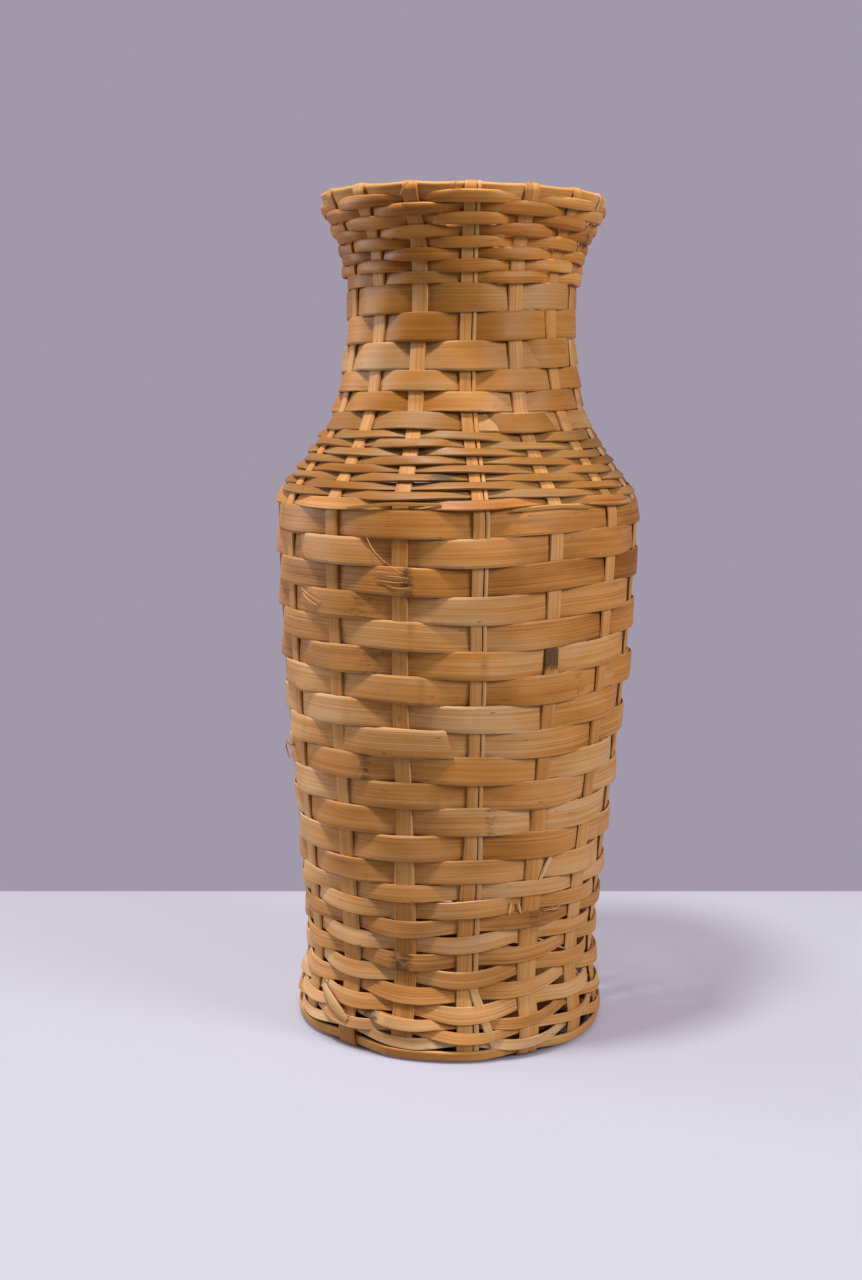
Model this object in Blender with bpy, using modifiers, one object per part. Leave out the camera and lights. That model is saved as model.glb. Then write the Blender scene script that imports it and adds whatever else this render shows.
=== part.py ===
"""Woven split-bamboo vase with a flared rim, a drawn-in neck, a sloping shoulder and a small flared foot.

Fifteen upright stakes carry twenty weavers that run round as one spiral, each lapped onto the next. The
stakes fold over a rim hoop, every third one folds under the foot hoop, and a plaited base lies on a ring
inside the foot. Metres, +Z up, the origin on the axis at floor level, the front towards -Y.
"""

import math

import bmesh
import bpy
import numpy as np

for old in list(bpy.data.objects):
    bpy.data.objects.remove(old)

# Heights of the woven sections, from the floor up
FOOT_RISE = 0.0226
LOWER_RISE = 0.0676
BODY_RISE = 0.1801
SHOULDER_RISE = 0.0341
COLLAR_RISE = 0.0289
NECK_RISE = 0.0406
RIM_RISE = 0.0385

# Radii of the wall, at the middle of the stakes, and where along its section each one lies
FOOT_RADIUS = 0.0754
FLARE_RADIUS = 0.0769
FLARE_HEIGHT = 0.011
WAIST_RADIUS = 0.0734
WAIST_LIFT = 0.0154
LOWER_RADIUS = 0.0774
BELLY_RADIUS = 0.0864
BELLY_LIFT = 0.0998
SHOULDER_RADIUS = 0.0899
SHOULDER_ROUND = 0.0033
SLOPE_RADIUS = 0.0774
SLOPE_LIFT = 0.0167
COLLAR_RADIUS = 0.0660
THROAT_RADIUS = 0.0604
THROAT_LIFT = 0.0136
NECK_RADIUS = 0.0553
NECK_LIFT = 0.0287
LIP_RADIUS = 0.0576
LIP_LIFT = 0.0141
RIM_RADIUS = 0.0679

# Stakes: the upright splints
STAKE_COUNT = 15
FRONT_STAKE_DEG = -83.7
STAKE_THICKNESS = 0.0014
STAKE_WIDTH = 0.0078
STAKE_FOOT_WIDTH = 0.0110
STAKE_WIDENS_FROM = 0.135
STAKE_WIDENS_TO = 0.075
STAKE_FAIRNESS = 0.00012
STAKE_TAIL = 0.014
FOLD_CORNER = 0.0007

# Weavers: the splints that run round
WEAVER_THICKNESS = 0.0010
ROW_GAP = 0.0006
WEAVER_TIP_WIDTH = 0.0022
CROSSING_MARGIN = 0.0012
START_TURN = 0.5
JOIN_SHIFT_TURNS = 0.2
TIP_SEARCH_TURNS = 0.01
LAP_CROSSINGS = 1

# Bands of the weave from the floor up: turns of the spiral, and the splints that fill them
LOWER_BANDS = (3.0, 8.25)
LOWER_SPLINTS = 5
BODY_TURNS = 13.75
BODY_SPLINTS = 6
SHOULDER_TURNS = 9.0
SHOULDER_SPLINTS = 4
NECK_BANDS = (3.0, 3.0)
NECK_SPLINTS = 2
RIM_TURNS = 8.0
RIM_SPLINTS = 3

# Hoops
RIM_HOOP_HEIGHT = 0.0042
RIM_HOOP_THICKNESS = 0.0030
FOOT_HOOP_HEIGHT = 0.0054
FOOT_HOOP_THICKNESS = 0.0022
FOLDED_FOOT_EVERY = 3
FIRST_FOLDED_FOOT = 1

# Base: a plaited mat on a ring
BASE_RING_HEIGHT = 0.0030
BASE_RING_THICKNESS = 0.0030
BASE_RING_STEPS = 45
BASE_RING_LIFT = 0.0093
BASE_SPLINTS_EACH_WAY = 6
BASE_SPLINT_SPACING = 0.006
BASE_SPLINT_THICKNESS = 0.0010
BASE_CROWN = 0.009
BASE_BEND = 0.0008

# Fits
CLEARANCE = 0.00035
WALL_STEP = 0.00025
WELD_DISTANCE = 0.00001
CURVE_SAMPLES = 12

# Finishes: colour, roughness
BAMBOO = {
    "stake": ((0.45, 0.27, 0.11), 0.55),
    "lower_weaver": ((0.37, 0.19, 0.07), 0.55),
    "body_weaver": ((0.36, 0.18, 0.06), 0.5),
    "shoulder_weaver": ((0.33, 0.16, 0.04), 0.5),
    "neck_weaver": ((0.39, 0.20, 0.06), 0.5),
    "rim_weaver": ((0.27, 0.12, 0.03), 0.55),
    "hoop": ((0.32, 0.16, 0.05), 0.55),
    "base": ((0.33, 0.19, 0.09), 0.65),
}


# The wall: a smooth curve of radius against height, measured along its own length
def wall_stations():
    foot_top = FOOT_RISE
    lower_top = foot_top + LOWER_RISE
    body_top = lower_top + BODY_RISE
    shoulder_top = body_top + SHOULDER_RISE
    collar_top = shoulder_top + COLLAR_RISE
    neck_top = collar_top + NECK_RISE
    rim_top = neck_top + RIM_RISE
    return [
        (0.0, FOOT_RADIUS),
        (FLARE_HEIGHT, FLARE_RADIUS),
        (foot_top + WAIST_LIFT, WAIST_RADIUS),
        (lower_top, LOWER_RADIUS),
        (lower_top + BELLY_LIFT, BELLY_RADIUS),
        (body_top - SHOULDER_ROUND, SHOULDER_RADIUS),
        (body_top + SLOPE_LIFT, SLOPE_RADIUS),
        (shoulder_top, COLLAR_RADIUS),
        (shoulder_top + THROAT_LIFT, THROAT_RADIUS),
        (collar_top + NECK_LIFT, NECK_RADIUS),
        (neck_top + LIP_LIFT, LIP_RADIUS),
        (rim_top, RIM_RADIUS),
    ]


def fair_slopes(heights, radii):
    """Slopes at the stations that keep the curve from overshooting any of them."""
    steps = np.diff(heights)
    chords = np.diff(radii) / steps
    slopes = np.zeros(len(heights))
    slopes[0], slopes[-1] = chords[0], chords[-1]
    for i in range(1, len(heights) - 1):
        if chords[i - 1] * chords[i] > 0:
            before = 2 * steps[i] + steps[i - 1]
            after = steps[i] + 2 * steps[i - 1]
            slopes[i] = (before + after) / (before / chords[i - 1] + after / chords[i])
    return slopes


def wall_table():
    """Heights, radii and lengths along the wall, at fine even steps, carried on straight past the rim."""
    heights, radii = np.array(wall_stations()).T
    slopes = fair_slopes(heights, radii)
    carried_on = RIM_HOOP_HEIGHT + 2 * CLEARANCE + STAKE_THICKNESS
    fine = np.arange(0.0, heights[-1] + carried_on, WALL_STEP)
    i = np.clip(np.searchsorted(heights, fine, side="right") - 1, 0, len(heights) - 2)
    span = heights[i + 1] - heights[i]
    t = np.minimum((fine - heights[i]) / span, 1.0)
    radius = (
        (2 * t**3 - 3 * t**2 + 1) * radii[i]
        + (t**3 - 2 * t**2 + t) * span * slopes[i]
        + (3 * t**2 - 2 * t**3) * radii[i + 1]
        + (t**3 - t**2) * span * slopes[i + 1]
    )
    radius += np.maximum(fine - heights[-1], 0.0) * slopes[-1]
    lengths = np.concatenate([[0.0], np.cumsum(np.hypot(np.diff(fine), np.diff(radius)))])
    return fine, radius, lengths


WALL_HEIGHTS, WALL_RADII, WALL_LENGTHS = wall_table()
WALL_LEAN = np.arctan(np.gradient(WALL_RADII, WALL_HEIGHTS))


def length_at(height):
    return float(np.interp(height, WALL_HEIGHTS, WALL_LENGTHS))


def lean_at(length):
    return float(np.interp(length, WALL_LENGTHS, WALL_LEAN))


def wall_place(length, out=0.0):
    """Radius and height at a length along the wall, moved out along the wall's own outward direction."""
    lean = lean_at(length)
    radius = float(np.interp(length, WALL_LENGTHS, WALL_RADII))
    height = float(np.interp(length, WALL_LENGTHS, WALL_HEIGHTS))
    return radius + out * math.cos(lean), height - out * math.sin(lean)


def stake_width(height):
    t = (STAKE_WIDENS_FROM - height) / (STAKE_WIDENS_FROM - STAKE_WIDENS_TO)
    t = min(max(t, 0.0), 1.0)
    return STAKE_WIDTH + (STAKE_FOOT_WIDTH - STAKE_WIDTH) * t * t * (3 - 2 * t)


# Levels that the pieces share
FOOT_BEND = STAKE_THICKNESS / 2 + FOLD_CORNER
FOOT_HOOP_BOTTOM = STAKE_THICKNESS + CLEARANCE
FOOT_HOOP_REACH = STAKE_THICKNESS / 2 + CLEARANCE + FOOT_HOOP_THICKNESS
FOOT_HOOP_DIP = FOOT_HOOP_REACH * max(0.0, -math.sin(lean_at(length_at(FOOT_HOOP_BOTTOM))))
FOOT_HOOP_LOW = length_at(FOOT_HOOP_BOTTOM + FOOT_HOOP_DIP)
FOOT_HOOP_HIGH = length_at(FOOT_HOOP_BOTTOM + FOOT_HOOP_DIP + FOOT_HOOP_HEIGHT)
WEAVE_START = FOOT_HOOP_HIGH + CLEARANCE
WEAVE_END = length_at(wall_stations()[-1][0])
RIM_HOOP_LOW = WEAVE_END + CLEARANCE
RIM_HOOP_HIGH = RIM_HOOP_LOW + RIM_HOOP_HEIGHT
WEAVER_OUT = STAKE_THICKNESS / 2 + CLEARANCE + WEAVER_THICKNESS / 2
LAP_STEP = WEAVER_THICKNESS + CLEARANCE
WALL_INNER_REACH = WEAVER_OUT + LAP_STEP + WEAVER_THICKNESS / 2
BASE_RING_TOP = BASE_RING_LIFT + BASE_RING_HEIGHT
BASE_PLAIT_LIFT = (BASE_SPLINT_THICKNESS + CLEARANCE) / 2
BASE_MIDDLE = BASE_RING_TOP + CLEARANCE + BASE_SPLINT_THICKNESS / 2 + BASE_PLAIT_LIFT
BASE_TOP = BASE_MIDDLE + BASE_PLAIT_LIFT + BASE_SPLINT_THICKNESS / 2


# Objects and finishes
def make_collection(name):
    collection = bpy.data.collections.new(name)
    bpy.context.scene.collection.children.link(collection)
    return collection


def make_finish(name):
    colour, roughness = BAMBOO[name]
    material = bpy.data.materials.new("bamboo_" + name)
    material.use_nodes = True
    shader = material.node_tree.nodes["Principled BSDF"]
    shader.inputs["Base Color"].default_value = (*colour, 1.0)
    shader.inputs["Roughness"].default_value = roughness
    shader.inputs["Metallic"].default_value = 0.0
    return material


def add_piece(name, mesh, finish):
    piece = bpy.data.objects.new(name, mesh)
    VASE.objects.link(piece)
    piece.parent = VASE_AXIS
    if not mesh.materials:
        mesh.materials.append(FINISHES[finish])
    return piece


def splint_mesh(name, edges, closed=False):
    """A flat open strip, one station for each pair of points in edges, the middle of a splint."""
    bm = bmesh.new()
    bmesh.ops.create_grid(bm, x_segments=len(edges) - 1, y_segments=1, size=1.0)
    for vert in bm.verts:
        station = round((vert.co.x + 1) / 2 * (len(edges) - 1))
        vert.co = edges[station][1 if vert.co.y > 0 else 0]
    if closed:
        bmesh.ops.remove_doubles(bm, verts=bm.verts, dist=WELD_DISTANCE)
    mesh = bpy.data.meshes.new(name)
    bm.to_mesh(mesh)
    bm.free()
    return mesh


def thicken(piece, thickness):
    solidify = piece.modifiers.new("thickness", "SOLIDIFY")
    solidify.thickness = thickness
    solidify.offset = 0.0
    solidify.use_even_offset = True


# Stakes
def stands_off(start, end):
    """How far the wall lies outside and inside the straight line between two lengths along it."""
    a, b = np.array(wall_place(start)), np.array(wall_place(end))
    along = (b - a) / np.linalg.norm(b - a)
    between = [np.array(wall_place(length)) - a for length in np.linspace(start, end, CURVE_SAMPLES)]
    outs = [along[1] * radius - along[0] * height for radius, height in between]
    return max(0.0, *outs), max(0.0, *(-out for out in outs))


def flat_offset(low, high, clear, is_outside):
    """Offset of a flat splint between two lengths along the wall that keeps clear of the wall's curve."""
    stands_out, stays_back = stands_off(low, high)
    out = clear + stands_out if is_outside else -clear - stays_back
    return out / math.cos((lean_at(high) - lean_at(low)) / 2)


def hoop_clear(thickness):
    """From the middle of a stake to the middle of a hoop beside it."""
    return STAKE_THICKNESS / 2 + CLEARANCE + thickness / 2


def fair_lengths(start, end):
    """Lengths along the wall where a stake bends, no further apart than its fairness allows."""
    lengths = [start]
    for length in WALL_LENGTHS[(WALL_LENGTHS > start) & (WALL_LENGTHS < end)]:
        if max(stands_off(lengths[-1], length)) > STAKE_FAIRNESS:
            lengths.append(length)
    return lengths + [end]


def rim_fold():
    """The stake's top: over the rim hoop and down inside it, as pairs of length along the wall and offset."""
    over = RIM_HOOP_HIGH + CLEARANCE + STAKE_THICKNESS / 2
    inside = -(STAKE_THICKNESS + 2 * CLEARANCE + RIM_HOOP_THICKNESS)
    return [
        (over - FOLD_CORNER, 0.0),
        (over, -FOLD_CORNER),
        (over, inside + FOLD_CORNER),
        (over - FOLD_CORNER, inside),
        (over - FOLD_CORNER - STAKE_TAIL, inside),
    ]


def foot_fold():
    """The end of every third stake: under the foot hoop and up inside it, to just below the base ring."""
    hoop_out = flat_offset(FOOT_HOOP_LOW, FOOT_HOOP_HIGH, hoop_clear(FOOT_HOOP_THICKNESS), False)
    behind_hoop = hoop_out - hoop_clear(FOOT_HOOP_THICKNESS)
    low_radius, low_height = wall_place(FOOT_HOOP_LOW, behind_hoop)
    high_radius, high_height = wall_place(FOOT_HOOP_HIGH, behind_hoop)
    slope = (high_radius - low_radius) / (high_height - low_height)
    under = STAKE_THICKNESS / 2
    tail_corner = STAKE_THICKNESS / 2 * abs(slope) / math.hypot(1.0, slope)
    tail_top = BASE_RING_LIFT - CLEARANCE - tail_corner
    inside = low_radius + slope * (FOOT_BEND - low_height)
    outside = wall_place(length_at(FOOT_BEND))[0]
    return [
        (inside + slope * (tail_top - FOOT_BEND), tail_top),
        (inside, FOOT_BEND),
        (inside + FOLD_CORNER, under),
        (outside - FOLD_CORNER, under),
    ]


def stake_mesh(name, folded_foot):
    start = length_at(FOOT_BEND) if folded_foot else FOOT_HOOP_LOW
    path = foot_fold() if folded_foot else []
    fold = rim_fold()
    path += [wall_place(length) for length in fair_lengths(start, fold[0][0])]
    path += [wall_place(*step) for step in fold[1:]]
    edges = []
    for radius, height in path:
        half = stake_width(height) / 2
        edges.append(((radius, -half, height), (radius, half, height)))
    return splint_mesh(name, edges)


def make_stakes():
    plain = stake_mesh("stake", folded_foot=False)
    folded = stake_mesh("stake_folded_foot", folded_foot=True)
    for i in range(STAKE_COUNT):
        has_fold = i % FOLDED_FOOT_EVERY == FIRST_FOLDED_FOOT
        stake = add_piece(f"stake_{i + 1:02d}", folded if has_fold else plain, "stake")
        stake.rotation_euler.z = stake_angle(i)
        thicken(stake, STAKE_THICKNESS)


def stake_angle(index):
    return math.radians(FRONT_STAKE_DEG) + 2 * math.pi * index / STAKE_COUNT


# Weavers
def band_edges():
    """Turns of the spiral, and lengths along the wall, where the width of the rows changes."""
    turns = [*LOWER_BANDS, BODY_TURNS, SHOULDER_TURNS, *NECK_BANDS, RIM_TURNS]
    rises = [FOOT_RISE, LOWER_RISE, BODY_RISE, SHOULDER_RISE, COLLAR_RISE, NECK_RISE, RIM_RISE]
    edge_turns = START_TURN + np.concatenate([[0.0], np.cumsum(turns)])
    edge_lengths = [length_at(height) for height in np.cumsum(rises)]
    return edge_turns, np.array([WEAVE_START, *edge_lengths])


EDGE_TURNS, EDGE_LENGTHS = band_edges()


def row_span(turn):
    """Lower and upper edge of the spiral row at a turn. The first and the last turn run out to a point."""
    low, high = np.interp([turn, turn + 1], EDGE_TURNS, EDGE_LENGTHS)
    return float(low) + ROW_GAP / 2, float(high) - ROW_GAP / 2


def turn_with_tip(first, step):
    """The turn nearest to first where the row is as wide as a splint's tip."""
    turn = first
    low, high = row_span(turn)
    while high - low < WEAVER_TIP_WIDTH:
        turn += step
        low, high = row_span(turn)
    return turn


def weaver_joins():
    """Turns where the splints of each kind start, and the turn where the last one ends."""
    start = turn_with_tip(EDGE_TURNS[0] - 1, TIP_SEARCH_TURNS)
    end = turn_with_tip(EDGE_TURNS[-1], -TIP_SEARCH_TURNS)
    kinds = [
        ("lower_weaver", LOWER_SPLINTS, EDGE_TURNS[2] + JOIN_SHIFT_TURNS),
        ("body_weaver", BODY_SPLINTS, EDGE_TURNS[3] + JOIN_SHIFT_TURNS),
        ("shoulder_weaver", SHOULDER_SPLINTS, EDGE_TURNS[4] + JOIN_SHIFT_TURNS),
        ("neck_weaver", NECK_SPLINTS, EDGE_TURNS[6] + JOIN_SHIFT_TURNS),
        ("rim_weaver", RIM_SPLINTS, end),
    ]
    joins = []
    for kind, count, stop in kinds:
        for i in range(count):
            joins.append((kind, i + 1, start + (stop - start) * i / count))
        start = stop
    return joins, end


def passes_outside(crossing):
    """Over one stake and under the next, counted along the spiral."""
    return crossing % 2 == 1


def lap_crossing(turn):
    """The stake that a lap is centred on: the nearest one that the row passes outside."""
    crossing = round(turn * STAKE_COUNT)
    return crossing if passes_outside(crossing) else crossing - 1


def lap_offset(crossing, lap):
    """How far a splint stands off the wall's usual rows at a crossing, where two splints overlap."""
    return LAP_STEP if lap is not None and abs(crossing - lap) <= LAP_CROSSINGS else 0.0


def crossing_edges(crossing, low, high, out, base_angle):
    """Two stations of a splint, one on each side of a stake, flat and parallel to the stake between them."""
    middle_radius, middle_height = wall_place((low + high) / 2)
    half = stake_width(middle_height) / 2 + CROSSING_MARGIN
    reach = math.atan(half / (middle_radius + out))
    centre = base_angle + 2 * math.pi * crossing / STAKE_COUNT
    stations = []
    for side in (-1, 1):
        angle = centre + side * reach
        pair = []
        for length in (low, high):
            radius, height = wall_place(length, out)
            radius /= math.cos(reach)
            pair.append((radius * math.cos(angle), radius * math.sin(angle), height))
        stations.append(tuple(pair))
    return stations


def weaver_mesh(name, first, last, head_lap, tail_lap):
    """A splint from one crossing to another, laid outside the splint before it and inside the next one."""
    base_angle = stake_angle(STAKE_COUNT // 2)
    edges = []
    for crossing in range(first, last + 1):
        low, high = row_span(crossing / STAKE_COUNT)
        is_outside = passes_outside(crossing)
        clear = WEAVER_OUT + lap_offset(crossing, head_lap if is_outside else tail_lap)
        edges += crossing_edges(crossing, low, high, flat_offset(low, high, clear, is_outside), base_angle)
    return splint_mesh(name, edges)


def make_weavers():
    joins, end = weaver_joins()
    laps = [None] + [lap_crossing(turn) for _, _, turn in joins[1:]] + [None]
    for i, (kind, number, turn) in enumerate(joins):
        head_lap, tail_lap = laps[i], laps[i + 1]
        first = math.ceil(turn * STAKE_COUNT) if head_lap is None else head_lap - LAP_CROSSINGS
        last = math.floor(end * STAKE_COUNT) if tail_lap is None else tail_lap + LAP_CROSSINGS
        name = f"{kind}_{number}"
        mesh = weaver_mesh(name, first, last, head_lap, tail_lap)
        thicken(add_piece(name, mesh, kind), WEAVER_THICKNESS)


# Hoops
def make_hoop(name, low, high, thickness, is_outside):
    """A closed ring on the wall that passes outside or inside each stake."""
    edges = []
    for i in range(STAKE_COUNT):
        out = flat_offset(low, high, hoop_clear(thickness), is_outside(i))
        edges += crossing_edges(i, low, high, out, stake_angle(0))
    mesh = splint_mesh(name, edges + edges[:1], closed=True)
    thicken(add_piece(name, mesh, "hoop"), thickness)


def make_hoops():
    make_hoop("rim_hoop", RIM_HOOP_LOW, RIM_HOOP_HIGH, RIM_HOOP_THICKNESS, lambda i: False)
    make_hoop("foot_hoop", FOOT_HOOP_LOW, FOOT_HOOP_HIGH, FOOT_HOOP_THICKNESS,
              lambda i: i % FOLDED_FOOT_EVERY != FIRST_FOLDED_FOOT)


# Base
def base_reach():
    """Radius of the clear round space inside the foot at the level of the base."""
    levels = (WALL_HEIGHTS > FOOT_HOOP_BOTTOM) & (WALL_HEIGHTS < BASE_TOP + CLEARANCE)
    return float(WALL_RADII[levels].min()) - WALL_INNER_REACH - CLEARANCE


def make_base_ring():
    outer = base_reach()
    inner = outer - BASE_RING_THICKNESS
    low, high = BASE_RING_LIFT, BASE_RING_TOP
    section = ((outer, high), (outer, low), (inner, low), (inner, high))
    bm = bmesh.new()
    corners = [bm.verts.new((radius, 0.0, height)) for radius, height in section]
    for i, corner in enumerate(corners):
        bm.edges.new((corner, corners[(i + 1) % len(corners)]))
    mesh = bpy.data.meshes.new("base_ring")
    bm.to_mesh(mesh)
    bm.free()
    ring = add_piece("base_ring", mesh, "base")
    screw = ring.modifiers.new("turn", "SCREW")
    screw.steps = screw.render_steps = BASE_RING_STEPS
    screw.use_merge_vertices = True
    screw.merge_threshold = WELD_DISTANCE


def base_splint_mesh(name, offset, width, starts_up):
    """A splint of the base along X, up over one crossing splint and down under the next."""
    reach = base_reach()
    pitch = width + BASE_SPLINT_SPACING
    near, far = offset - width / 2, offset + width / 2
    end = math.sqrt(reach**2 - max(abs(near), abs(far)) ** 2)
    half = width / 2 + BASE_BEND
    stations = [-end, end]
    for i in range(BASE_SPLINTS_EACH_WAY):
        crossing = (i - (BASE_SPLINTS_EACH_WAY - 1) / 2) * pitch
        stations += [x for x in (crossing - half, crossing + half) if abs(x) < end - BASE_BEND]
    edges = []
    for x in sorted(stations):
        i = round(x / pitch + (BASE_SPLINTS_EACH_WAY - 1) / 2)
        height = BASE_MIDDLE + (BASE_PLAIT_LIFT if (i + starts_up) % 2 == 0 else -BASE_PLAIT_LIFT)
        edges.append(((x, near, height), (x, far, height)))
    return splint_mesh(name, edges)


def make_base_mat():
    across = 2 * (base_reach() - BASE_CROWN)
    width = (across + BASE_SPLINT_SPACING) / BASE_SPLINTS_EACH_WAY - BASE_SPLINT_SPACING
    for way, turned in (("across", 0.0), ("along", math.pi / 2)):
        for i in range(BASE_SPLINTS_EACH_WAY):
            name = f"base_splint_{way}_{i + 1}"
            offset = (i - (BASE_SPLINTS_EACH_WAY - 1) / 2) * (width + BASE_SPLINT_SPACING)
            mesh = base_splint_mesh(name, offset, width, starts_up=i)
            splint = add_piece(name, mesh, "base")
            splint.rotation_euler.z = turned
            thicken(splint, BASE_SPLINT_THICKNESS)


VASE = make_collection("woven_bamboo_vase")
VASE_AXIS = bpy.data.objects.new("vase_axis", None)
VASE.objects.link(VASE_AXIS)
FINISHES = {name: make_finish(name) for name in BAMBOO}
make_stakes()
make_weavers()
make_hoops()
make_base_ring()
make_base_mat()
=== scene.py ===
# %% [markdown]
# # A woven bamboo vase
# The vase is a basket: fifteen flat upright stakes, and twenty long weavers that run round them as one
# spiral, over one stake and under the next. The measured model comes first, as a frame of plain strips.
# Everything below gives those strips their bent, rounded, slightly uneven bamboo form and their finish.

# %% Load the measured frame
import math

import bmesh
import bpy
import numpy as np
from mathutils import Matrix, Vector


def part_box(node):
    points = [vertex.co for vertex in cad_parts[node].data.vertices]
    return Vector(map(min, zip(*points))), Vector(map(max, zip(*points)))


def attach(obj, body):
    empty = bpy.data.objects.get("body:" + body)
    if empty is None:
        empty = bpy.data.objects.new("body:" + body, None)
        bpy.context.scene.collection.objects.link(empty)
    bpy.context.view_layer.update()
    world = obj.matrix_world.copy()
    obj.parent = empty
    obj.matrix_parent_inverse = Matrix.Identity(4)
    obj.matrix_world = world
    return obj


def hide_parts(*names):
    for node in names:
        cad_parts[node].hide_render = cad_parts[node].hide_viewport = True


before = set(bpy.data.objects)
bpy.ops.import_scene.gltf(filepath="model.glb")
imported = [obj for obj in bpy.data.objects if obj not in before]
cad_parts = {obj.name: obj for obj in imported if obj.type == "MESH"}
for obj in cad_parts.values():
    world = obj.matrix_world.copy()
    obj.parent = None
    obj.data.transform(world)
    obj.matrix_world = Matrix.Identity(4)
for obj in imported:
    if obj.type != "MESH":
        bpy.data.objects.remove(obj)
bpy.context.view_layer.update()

print("frame nodes:", len(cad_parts))

# %% [markdown]
# ## The wall
# All splints lie on one turned surface, so its profile is the only outline in the file: twelve heights
# and radii. A curve with a Screw modifier could turn it, but the wall itself is never seen. It only
# guides the splints, so numbers are enough: a cubic through the stations that never overshoots one,
# sampled finely once. A place on the wall is then a length along it and a step outwards.

# %% The wall's profile
WALL_STATIONS = (
    (0.0000, 0.0754),
    (0.0110, 0.0769),
    (0.0380, 0.0734),
    (0.0902, 0.0774),
    (0.1900, 0.0864),
    (0.2670, 0.0899),
    (0.2870, 0.0774),
    (0.3044, 0.0660),
    (0.3180, 0.0604),
    (0.3620, 0.0553),
    (0.3880, 0.0576),
    (0.4136, 0.0684),
)
WALL_STEP = 0.00025
PAST_RIM = 0.008


def fair_slopes(heights, radii):
    """Slopes at the stations that keep the curve from overshooting any of them."""
    steps = np.diff(heights)
    chords = np.diff(radii) / steps
    slopes = np.concatenate([chords[:1], np.zeros(len(heights) - 2), chords[-1:]])
    for i in range(1, len(heights) - 1):
        if chords[i - 1] * chords[i] > 0:
            before, after = 2 * steps[i] + steps[i - 1], steps[i] + 2 * steps[i - 1]
            slopes[i] = (before + after) / (before / chords[i - 1] + after / chords[i])
    return slopes


def wall_curve():
    """Heights, radii and lengths along the wall at fine even steps, carried on straight past the rim."""
    heights, radii = np.array(WALL_STATIONS).T
    slopes = fair_slopes(heights, radii)
    fine = np.arange(0.0, heights[-1] + PAST_RIM, WALL_STEP)
    i = np.clip(np.searchsorted(heights, fine, side="right") - 1, 0, len(heights) - 2)
    span = heights[i + 1] - heights[i]
    t = np.minimum((fine - heights[i]) / span, 1.0)
    radius = (
        (2 * t**3 - 3 * t**2 + 1) * radii[i]
        + (t**3 - 2 * t**2 + t) * span * slopes[i]
        + (3 * t**2 - 2 * t**3) * radii[i + 1]
        + (t**3 - t**2) * span * slopes[i + 1]
    )
    radius += np.maximum(fine - heights[-1], 0.0) * slopes[-1]
    lengths = np.concatenate([[0.0], np.cumsum(np.hypot(np.diff(fine), np.diff(radius)))])
    return fine, radius, lengths


WALL_HEIGHTS, WALL_RADII, WALL_LENGTHS = wall_curve()
WALL_LEAN = np.arctan(np.gradient(WALL_RADII, WALL_HEIGHTS))
print("wall sampled at", len(WALL_HEIGHTS), "heights")

# %% Places on the wall
def length_at(height):
    return np.interp(height, WALL_HEIGHTS, WALL_LENGTHS)


def wall_place(length, out):
    """Radius and height at a length along the wall, a step out along the wall's own outward direction."""
    lean = np.interp(length, WALL_LENGTHS, WALL_LEAN)
    radius = np.interp(length, WALL_LENGTHS, WALL_RADII) + out * np.cos(lean)
    height = np.interp(length, WALL_LENGTHS, WALL_HEIGHTS) - out * np.sin(lean)
    return radius, height


def turned(radius, height, angle):
    """Points in space from radius, height and angle round the axis."""
    return np.stack([radius * np.cos(angle), radius * np.sin(angle), height + 0 * angle], axis=1)


wall_top = WALL_STATIONS[-1][0]
print("wall: %.0f mm along, %.0f mm high" % (1000 * length_at(wall_top), 1000 * wall_top))

# %% [markdown]
# ## The spiral
# The weavers are one continuous spiral. It could be drawn as a helix, but then in and out would have to
# be worked out afterwards. So its place is counted in crossings: fifteen to a turn, one at each stake,
# outside the stakes at odd crossings and inside at even ones. With an odd number of stakes this swaps
# from each turn to the next by itself, which is why such baskets have an odd number. The rows get wider
# and narrower in bands, so a short list of turns and heights says where each row lies.

# %% Stakes and rows
STAKE_COUNT = 15
STAKE_STEP = 2 * math.pi / STAKE_COUNT
FRONT_STAKE = math.radians(-83.7)
FIRST_CROSSING_STAKE = 7
BAND_TURNS = (0.5, 3.5, 11.75, 25.5, 34.5, 37.5, 40.5, 48.5)
BAND_HEIGHTS = (0.0075, 0.0226, 0.0902, 0.2703, 0.3044, 0.3333, 0.3739, 0.4136)
BAND_LENGTHS = length_at(np.array(BAND_HEIGHTS))
ROW_GAP = 0.0002
STAKE_WIDTH, STAKE_FOOT_WIDTH = 0.0078, 0.0110
STAKE_WIDENS_FROM, STAKE_WIDENS_TO = 0.135, 0.075
NECK_TWIST = math.radians(-4.0)
TWIST_FROM, TWIST_TO = 0.255, 0.345


def smooth_step(x):
    x = np.clip(x, 0.0, 1.0)
    return x * x * (3 - 2 * x)


def stake_angle(index):
    return FRONT_STAKE + index * STAKE_STEP


def crossing_angle(t):
    return stake_angle(FIRST_CROSSING_STAKE) + t * STAKE_STEP


def stake_width(height):
    share = smooth_step((STAKE_WIDENS_FROM - height) / (STAKE_WIDENS_FROM - STAKE_WIDENS_TO))
    return STAKE_WIDTH + (STAKE_FOOT_WIDTH - STAKE_WIDTH) * share


def neck_twist(height):
    """The stakes lean a little to one side between the shoulder and the neck."""
    return NECK_TWIST * smooth_step((height - TWIST_FROM) / (TWIST_TO - TWIST_FROM))


def row_span(t):
    """Lengths along the wall of the lower and the upper edge of the row at a crossing number."""
    turn = t / STAKE_COUNT
    low = np.interp(turn, BAND_TURNS, BAND_LENGTHS)
    high = np.interp(turn + 1, BAND_TURNS, BAND_LENGTHS)
    return low + ROW_GAP / 2, high - ROW_GAP / 2


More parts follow.
